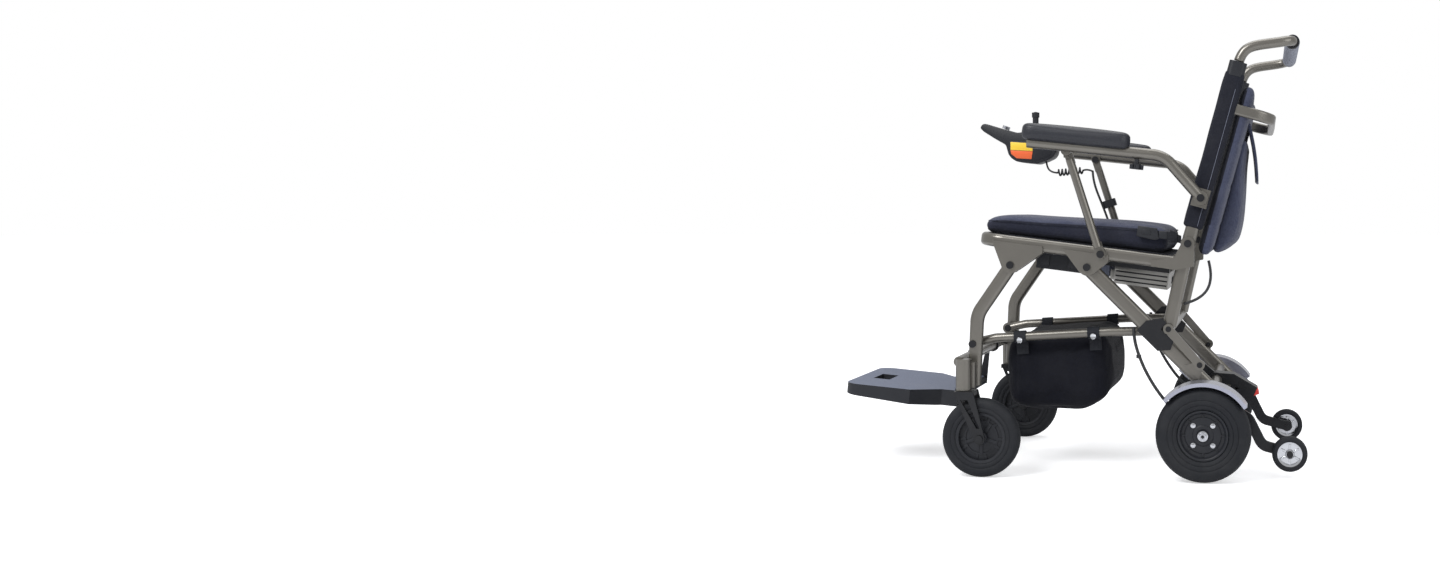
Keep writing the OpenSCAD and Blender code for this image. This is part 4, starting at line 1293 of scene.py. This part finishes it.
    def handle(self) -> None:
        """Makes the push handle's tube, from one post round to the other."""
        side = [
            (73, 882, 210), (77, 893, 210), (84, 904, 210), (96, 912, 210), (114, 916.5, 210),
            (140, 919.5, 209), (160, 922, 207.6), (173, 924.4, 205), (182, 926, 197),
            (186, 926.6, 184), (186, 926.6, 166),
        ]
        route = [spot(x, -y, z) for x, z, y in side] + [spot(x, y, z) for x, z, y in side[::-1]]
        add_piece(
            "handle_tube", hose(route, 11.0, "handle_tube", 8), "back",
            [FRAME_PAINT], ["push_handle"], None,
        )

    def build(self) -> None:
        """Makes the back's pieces."""
        self.handle()
        self.sleeves()
        self.pad()
        self.pocket()
        self.flap()
        self.grip()


# ---- arms, pod, bag and cables ----


@dataclass
class Armrest:
    """One padded armrest."""

    side: Side
    half: float = 24.5

    def build(self) -> None:
        """Makes the pad with its round ends and its piping."""
        word, y0 = self.side.word, ARM_Y / MM * self.side.value
        bm = rounded_block((-14, y0 - self.half, 5), (218, y0 + self.half, 39), 11, 28)

        def shape(at: Vector) -> Vector:
            x, y, z = at / MM
            end = max(0.0, abs(x - 102) - 90) / 26
            y = y0 + (y - y0) * math.sqrt(max(0.12, 1 - end * end * 0.86))
            v = (y - y0) / self.half
            z += 1.6 * max(0.0, 1 - v * v) * ramp(z, 20, 39) - 2.2 * end * end * ramp(z, 16, 39)
            return Vector((x, y, z)) * MM

        press(bm, shape)
        bm = puff(bm, 2.0, 4.0)
        sew(bm, lambda p: p.z - 28 * MM, 1.0, 1.4)
        sew(bm, lambda p: p.z - 12 * MM, 1.0, 1.4)
        settle(bm, ARM)
        piece = add_piece(
            "arm_cushion_" + word, bm, "arm_" + word, [ARM_VINYL],
            ["arm_pad_" + word], None,
        )
        plump(piece)
        base = box((-4, y0 - 15, 6), (208, y0 + 15, 11), 1.5)
        add_piece(
            "pad_base_" + word, settle(base, ARM), "arm_" + word,
            [BLACK_PLASTIC], (), 38,
        )


@dataclass
class JoystickPod:
    """The housing of the joystick with its visor, side panel and boot."""

    half: float = 31.0
    outline: list[tuple[float, float]] = field(
        default_factory=lambda: [
            (-583, 775), (-580, 782), (-574, 786), (-566, 785), (-526, 773), (-486, 762),
            (-470, 764), (-438, 758.5), (-412, 752), (-399, 747), (-393, 740), (-388, 722),
            (-390, 709), (-397, 699), (-415, 690.5), (-436, 684), (-462, 686.5), (-488, 690),
            (-501, 698), (-509, 708), (-516, 732), (-545, 748), (-574, 766),
        ]
    )

    def housing(self) -> None:
        """Makes the housing, narrower toward the tip of its visor."""
        y0 = ARM_Y / MM
        bm = slab(self.outline, y0 - self.half, y0 + self.half, 3.4)

        def taper(at: Vector) -> Vector:
            share = 1 - 0.34 * (1 - ramp(at.x / MM, -586, -500))
            at.y = ARM_Y + (at.y - ARM_Y) * share
            return at

        press(bm, taper)
        from_axle(bm)
        cheeks = []
        for s in (-1, 1):
            at = y0 + s * (self.half + 0.1)
            cheek = slab(
                [(-506, 742), (-402, 736), (-396, 722), (-404, 704), (-440, 691), (-490, 696),
                 (-505, 712)], min(at, at + s * 0.9), max(at, at + s * 0.9), 0.4,
            )
            from_axle(cheek)
            cheeks.append(cheek)
        add_piece(
            "pod_shell", joined([bm, *cheeks]), "arm_right", [BLACK_PLASTIC],
            ["pod_housing"], 30,
        )

    def panel(self) -> None:
        """Makes the plain two-colour panel on both flanks."""
        y0 = ARM_Y / MM
        rows = (
            ("upper", [(-503, 739), (-448, 735), (-447, 716), (-503, 719)], YELLOW_PANEL),
            (
                "lower", [(-503, 718), (-447, 715), (-450, 696), (-487, 698), (-501, 709)],
                ORANGE_PANEL,
            ),
        )
        for name, outline, finish in rows:
            parts = []
            for s in (-1, 1):
                near = y0 + s * (self.half + 1.0)
                far = near + s * 0.7
                plate = slab(outline, min(near, far), max(near, far), 0.3)
                from_axle(plate)
                parts.append(plate)
            add_piece(
                "pod_panel_" + name, joined(parts), "arm_right", [finish], (), 38
            )

    def boot(self) -> None:
        """Makes the ring under the stick's boot."""
        centre = spot(-445, ARM_Y / MM, 763)
        profile = [(20.5, -3.5), (23.6, -3.5), (24.0, 0.6), (23.0, 2.0), (21.4, 2.0), (20.5, 0.6)]
        bm = lathe(profile, Vector((0, 0, 0)), 56)
        bmesh.ops.rotate(
            bm, verts=bm.verts, cent=(0, 0, 0), matrix=Matrix.Rotation(math.pi / 2, 3, "X")
        )
        bmesh.ops.rotate(
            bm, verts=bm.verts, cent=(0, 0, 0),
            matrix=Matrix.Rotation(math.radians(11), 3, "Y"),
        )
        bmesh.ops.translate(bm, vec=centre, verts=bm.verts)
        add_piece("stick_ring", bm, "arm_right", [BLACK_PLASTIC], (), 38)

    def knob(self) -> None:
        """Makes the rounded knob on the stick."""
        low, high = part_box("joystick_stick")
        centre = Vector(((low.x + high.x) / 2, (low.y + high.y) / 2, high.z - 15 * MM))
        profile = [
            (3.4, -3), (6.0, -2), (7.4, 1.5), (8.2, 6), (8.2, 10), (7.4, 13.6), (5.2, 15.8),
            (2.6, 16.8), (0.0, 17.0), (0.0, -3.0),
        ]
        bm = lathe(profile, Vector((0, 0, 0)), 48)
        bmesh.ops.rotate(
            bm, verts=bm.verts, cent=(0, 0, 0), matrix=Matrix.Rotation(math.pi / 2, 3, "X")
        )
        bmesh.ops.translate(bm, vec=centre, verts=bm.verts)
        add_piece("stick_knob", bm, "stick", [BLACK_PLASTIC], (), 38)

    def build(self) -> None:
        """Makes the pod's own pieces."""
        self.knob()
        self.housing()
        self.panel()
        self.boot()


@dataclass
class StorageBag:
    """The bag under the seat, with its snaps."""

    low: tuple[float, float, float] = (-437.0, -159.0, 131.0)
    high: tuple[float, float, float] = (-207.0, 159.0, 299.0)
    straps: tuple[float, float] = (-401.0, -240.0)

    def sag(self, at: Vector) -> Vector:
        """Where a point of the full bag hangs, in metres from the rear axle."""
        x, y, z = at / MM
        u = (x - self.low[0]) / (self.high[0] - self.low[0])
        w = (z - self.low[2]) / (self.high[2] - self.low[2])
        v = y / self.high[1]
        z += (1 - w) * (12 * (2 * u - 1) ** 4 + 16 * ramp(u, 0.72, 1.0) + 3 * v ** 4)
        z += w * (-12 * (1 - ramp(u, 0.0, 0.7)) - 3 * math.sin(u * math.pi))
        x += (1 - w) * 5 * ramp(1 - u, 0.6, 1.0) - 6 * w * ramp(u, 0.7, 1.0)
        folds = math.sin(u * 9.0 + w * 2.6) * 1.6 + math.sin(u * 23.0 - w * 5.0) * 0.7
        y += (1 if y > 0 else -1) * (folds * (0.4 + 0.6 * (1 - w)) - 3.5 * w * (1 - abs(v)) - 2)
        x += math.sin(w * 11.0 + v * 3.0) * 1.1 * abs(2 * u - 1)
        return Vector((x, y, z)) * MM

    def build(self) -> None:
        """Makes the sagging shell, its hem and the snaps."""
        bm = rounded_block(self.low, self.high, 20, 34)
        press(bm, self.sag)
        bm = puff(bm, 5.0)
        sew(bm, lambda p: p.x - (self.low[0] + 22) * MM, 1.0, 1.5)
        sew(bm, lambda p: p.z - (self.low[2] + 118) * MM, 1.2, 1.6)
        sew(bm, lambda p: p.x - (self.high[0] - 34) * MM, 1.0, 1.5)
        from_axle(bm)
        bag = add_piece(
            "bag_shell", bm, "links", [BAG_CLOTH], ["storage_bag"], None
        )
        plump(bag)
        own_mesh(bag)
        snaps = []
        for x in self.straps:
            height = 289 + (x + 455) * 16 / 250 - 7
            for s in (-1, 1):
                cap = lathe(
                    [(0.0, 14.0), (5.4, 14.0), (6.4, 14.7), (6.4, 15.3), (5.2, 16.2), (3.6, 16.0),
                     (2.6, 15.4), (0.0, 15.4)], Vector((0, 0, 0)), 40, False,
                )
                bmesh.ops.scale(cap, vec=(1, s, 1), verts=cap.verts)
                bmesh.ops.translate(cap, vec=spot(x, s * 181, height), verts=cap.verts)
                snaps.append(cap)
        add_piece("strap_snaps", joined(snaps), "links", [CHROME], (), 38)


@dataclass
class Cables:
    """The leads that stay fixed to the frame."""

    motor: list[tuple[float, float, float]] = field(
        default_factory=lambda: [
            (-150, 0, 318), (-151, -3, 294), (-140, -6, 255), (-120, -6, 212),
            (-92, -5, 170), (-58, -4, 133), (-28, -4, 112), (-7, -4, 103),
        ]
    )
    back: list[tuple[float, float, float]] = field(
        default_factory=lambda: [
            (8, -186, 460), (13, -187, 440), (14, -189, 415), (2, -193, 388),
            (-22, -198, 374), (-44, -204, 368),
        ]
    )
    stick_low: list[tuple[float, float, float]] = field(
        default_factory=lambda: [
            (-296, 226, 664), (-294, 222, 636), (-277, 222, 596), (-260, 222, 552),
            (-249, 219, 522), (-245, 206, 503), (-248, 192, 488), (-260, 172, 472),
            (-282, 140, 466), (-304, 108, 466),
        ]
    )
    stick_high: list[tuple[float, float, float]] = field(
        default_factory=lambda: [
            (-416, 248, 690), (-414, 247, 674), (-404, 245, 664), (-388, 241, 662),
            (-320, 228, 668), (-306, 226, 670), (-294, 226, 664),
        ]
    )

    coil_turns: int = 7
    coil_radius: float = 7.5
    motor_radius: float = 3.5
    back_radius: float = 3.0
    high_radius: float = 2.3
    low_radius: float = 2.8

    def lead(
        self, name: str, route: Sequence[tuple], radius: float, body: str, node: str
    ) -> object:
        """Makes one cable.

        Args:
            name: Name of the piece.
            route: Its points in millimetres from the rear axle.
            radius: Its radius in millimetres.
            body: CAD body it moves with.
            node: CAD node that it stands for, or nothing.

        Returns:
            The piece.
        """
        mesh = hose([spot(*p) for p in route], radius, name)
        stands_for = [node] if node else ()
        return add_piece(name, mesh, body, [CABLE_RUBBER], stands_for, None)

    def coil(self) -> list[tuple[float, float, float]]:
        """The coiled middle of the joystick's lead."""
        first, last, r = Vector((-386, 241, 662)), Vector((-322, 228, 667)), self.coil_radius
        steps = self.coil_turns * 12
        points = []
        for k in range(steps + 1):
            at = first.lerp(last, k / steps)
            a = math.tau * self.coil_turns * (k / steps)
            points.append((at.x, at.y + r * math.cos(a), at.z + r * math.sin(a)))
        return points

    def build(self) -> None:
        """Makes every cable and its clips."""
        sides = []
        for s in (-1, 1):
            route = [spot(x, s * (RAIL_Y / MM + y), z) for x, y, z in self.motor]
            bm = bmesh.new()
            bm.from_mesh(hose(route, self.motor_radius, "motor"))
            sides.append(bm)
            for k in (2, 5):
                x, y, z = self.motor[k]
                clip = lathe(
                    [(3.4, -4), (5.4, -3.4), (5.4, 3.4), (3.4, 4)],
                    spot(x, s * (RAIL_Y / MM + y), z), 24,
                )
                bmesh.ops.rotate(
                    clip, verts=clip.verts, cent=spot(x, s * (RAIL_Y / MM + y), z),
                    matrix=Matrix.Rotation(math.radians(90), 3, "X"),
                )
                sides.append(clip)
        add_piece(
            "motor_leads", joined(sides), "rear_legs", [CABLE_RUBBER],
            ["motor_cables"], 38,
        )
        self.lead("back_lead", self.back, self.back_radius, "back", "back_cable")
        high = self.stick_high[:4] + self.coil() + self.stick_high[4:]
        self.lead("stick_lead_coil", high, self.high_radius, "arm_right", "")
        low = self.lead(
            "stick_lead_low", self.stick_low, self.low_radius, "", "joystick_cable"
        )
        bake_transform(low)


@dataclass
class UnderSeat:
    """Small fittings on the battery case and the control module."""

    def build(self) -> None:
        """Makes the dark strips on the case's sides, its latch and the module's clamps."""
        strips = [
            settle(box((288, s * 140 - 0.9, z), (402, s * 140 + 0.9, z + 3.2), 0.6), SEAT)
            for s in (-1, 1) for z in (-58, -48, -38)
        ]
        add_piece("case_ribs", joined(strips), "seat", [BLACK_STEEL], (), 38)
        latch = [
            settle(box((404, -32, -56), (408.5, 32, -40), 1.4), SEAT),
            settle(box((406, -22, -51), (411, 22, -45), 1.2), SEAT),
        ]
        add_piece("case_latch", joined(latch), "seat", [BLACK_PLASTIC], (), 38)
        clamps = []
        for s in (-1, 1):
            near, far = s * 104.0, s * 107.5
            for x0, x1, z0, z1 in ((112, 134, -47, -6), (176, 198, -47, -6), (108, 202, -20, -13)):
                block = box((x0, min(near, far), z0), (x1, max(near, far), z1), 1.2)
                clamps.append(settle(block, SEAT))
        add_piece("module_clamps", joined(clamps), "seat", [BLACK_PLASTIC], (), 38)


def dress_frame() -> None:
    """Gives every carried-over CAD node its finish."""
    painted = (
        "seat_frame", "rear_frame", "front_frame", "lower_links", "back_frame",
        "arm_tube_left", "arm_tube_right", "strut_left", "strut_right", "toggle_link_left",
        "toggle_link_right",
    )
    for name in painted:
        dress(name, FRAME_PAINT)
    for name in ("seat_pivot_bolts", "latch_cradles", "footplate_bracket", "release_pedal",
                 "antitip_arm_left", "antitip_arm_right", "caster_fork_left",
                 "caster_fork_right", "battery_rails"):
        dress(name, BLACK_STEEL)
    dress("junction_box", SLATE_PLASTIC)
    for name in ("power_module", "cable_clip", "star_knob", "handle_fittings",
                 "joystick_stick"):
        dress(name, BLACK_PLASTIC)
    dress("battery_case", CASE_ALLOY, bevel=1.2)
    dress("fenders", SILVER_PAINT)
    dress("motor_stators", ALLOY)
    dress("seat_sling", BLACK_CLOTH)
    dress("bag_straps", WEBBING)
    for name in ("joystick_gimbal", "power_button", "horn_button", "speed_rocker"):
        dress(name, ALLOY)
    foot = dress("footplate", SLATE_PLASTIC)
    repaint(foot, BLACK_PLASTIC, lambda c, n: n.z < 0.9)
    dark_bolts()


def dark_bolts() -> None:
    """Paints the bolt heads and pedal tip that are part of larger nodes."""
    repaint(
        NODES["back_frame"], BLACK_STEEL,
        lambda c, n: abs(c.y) > ARM_Y + 0.0128 and near_axis(c, -5, 593, 13),
    )
    for side in Side:
        repaint(
            NODES["arm_tube_" + side.word], BLACK_STEEL,
            lambda c, n: abs(c.y) < 0.2385 and near_axis(c, -290, 694, 9),
        )
        repaint(
            NODES["toggle_link_" + side.word], BLACK_STEEL,
            lambda c, n: near_axis(c, -9, 241, 7) or near_axis(c, -75, 316, 7),
        )
    repaint(
        NODES["lower_links"], BLACK_STEEL,
        lambda c, n: near_axis(c, -499, 279, 8.6) or near_axis(c, -105, 308, 8.6),
    )
    tip = spot(19 + 78, 0, 0).x
    repaint(NODES["release_pedal"], RED_PLASTIC, lambda c, n: c.x > tip)


# ---- stage ----


def floor_material() -> bpy.types.Material:
    """A pale floor that keeps the object's shadow."""
    made = bpy.data.materials.new("mat_floor")
    made.use_nodes = True
    graph = Graph(made.node_tree)
    shader = graph.add("ShaderNodeBsdfPrincipled", Roughness=0.85)
    shader.inputs["Base Color"].default_value = linear((240, 241, 244))
    shader.inputs["Emission Color"].default_value = (1.0, 1.0, 1.0, 1.0)
    rays = graph.add("ShaderNodeLightPath").outputs
    seen = graph.maths("MAXIMUM", rays["Is Camera Ray"], rays["Is Transmission Ray"])
    graph.tree.links.new(
        graph.maths("MULTIPLY", seen, FLOOR_LIFT), shader.inputs["Emission Strength"]
    )
    out = graph.add("ShaderNodeOutputMaterial")
    graph.tree.links.new(shader.outputs[0], out.inputs["Surface"])
    return made


def light(name: str, at: Sequence[float], size: float, power: float, aim: Vector) -> None:
    """Adds a soft square lamp.

    Args:
        name: Name of the lamp.
        at: Its place in metres.
        size: Length of its side in metres.
        power: Its power in watts.
        aim: The point it faces.
    """
    lamp = bpy.data.lights.new(name, "AREA")
    lamp.size = size
    lamp.energy = power
    holder = bpy.data.objects.new(name, lamp)
    holder.location = at
    holder.rotation_euler = (aim - Vector(at)).to_track_quat("-Z", "Y").to_euler()
    bpy.context.scene.collection.objects.link(holder)


def set_stage() -> None:
    """Builds the floor, the white surroundings, the lamps and the camera."""
    bm = bmesh.new()
    bmesh.ops.create_grid(bm, x_segments=1, y_segments=1, size=30)
    floor = bpy.data.objects.new("floor", bpy.data.meshes.new("floor"))
    bm.to_mesh(floor.data)
    bm.free()
    floor.data.materials.append(floor_material())
    bpy.context.scene.collection.objects.link(floor)

    world = bpy.data.worlds.new("surroundings")
    bpy.context.scene.world = world
    world.use_nodes = True
    graph = Graph(world.node_tree)
    rays = graph.add("ShaderNodeLightPath").outputs
    seen = graph.maths("MAXIMUM", rays["Is Camera Ray"], rays["Is Transmission Ray"])
    strength = graph.maths("MULTIPLY_ADD", seen, 1.0 - SKY)
    strength.node.inputs[2].default_value = SKY
    back = graph.add("ShaderNodeBackground", Color=(1.0, 1.0, 1.0, 1.0), Strength=strength)
    out = graph.add("ShaderNodeOutputWorld")
    graph.tree.links.new(back.outputs[0], out.inputs["Surface"])

    for name, at, size, power in LAMPS:
        light(name, at, size, power, LAMP_AIM)

    lens = bpy.data.cameras.new("camera")
    lens.lens = FOCAL_LENGTH
    lens.sensor_width = SENSOR_WIDTH
    lens.shift_x, lens.shift_y = LENS_SHIFT
    camera = bpy.data.objects.new("camera", lens)
    camera.location = spot(*CAMERA_PLACE)
    camera.rotation_euler = (math.pi / 2, 0.0, math.radians(CAMERA_HEADING))
    bpy.context.scene.collection.objects.link(camera)
    bpy.context.scene.camera = camera


def main() -> None:
    """Builds the chair's looks in order and reports each piece."""
    bpy.context.scene.view_settings.view_transform = "Standard"
    set_stage()
    dress_frame()
    for side in Side:
        RearWheel(side).build()
        CasterWheel(side).build()
        AntitipWheel(side).build()
        Armrest(side).build()
    Seat().build()
    Backrest().build()
    JoystickPod().build()
    StorageBag().build()
    Cables().build()
    UnderSeat().build()


if __name__ == "__main__":
    main()
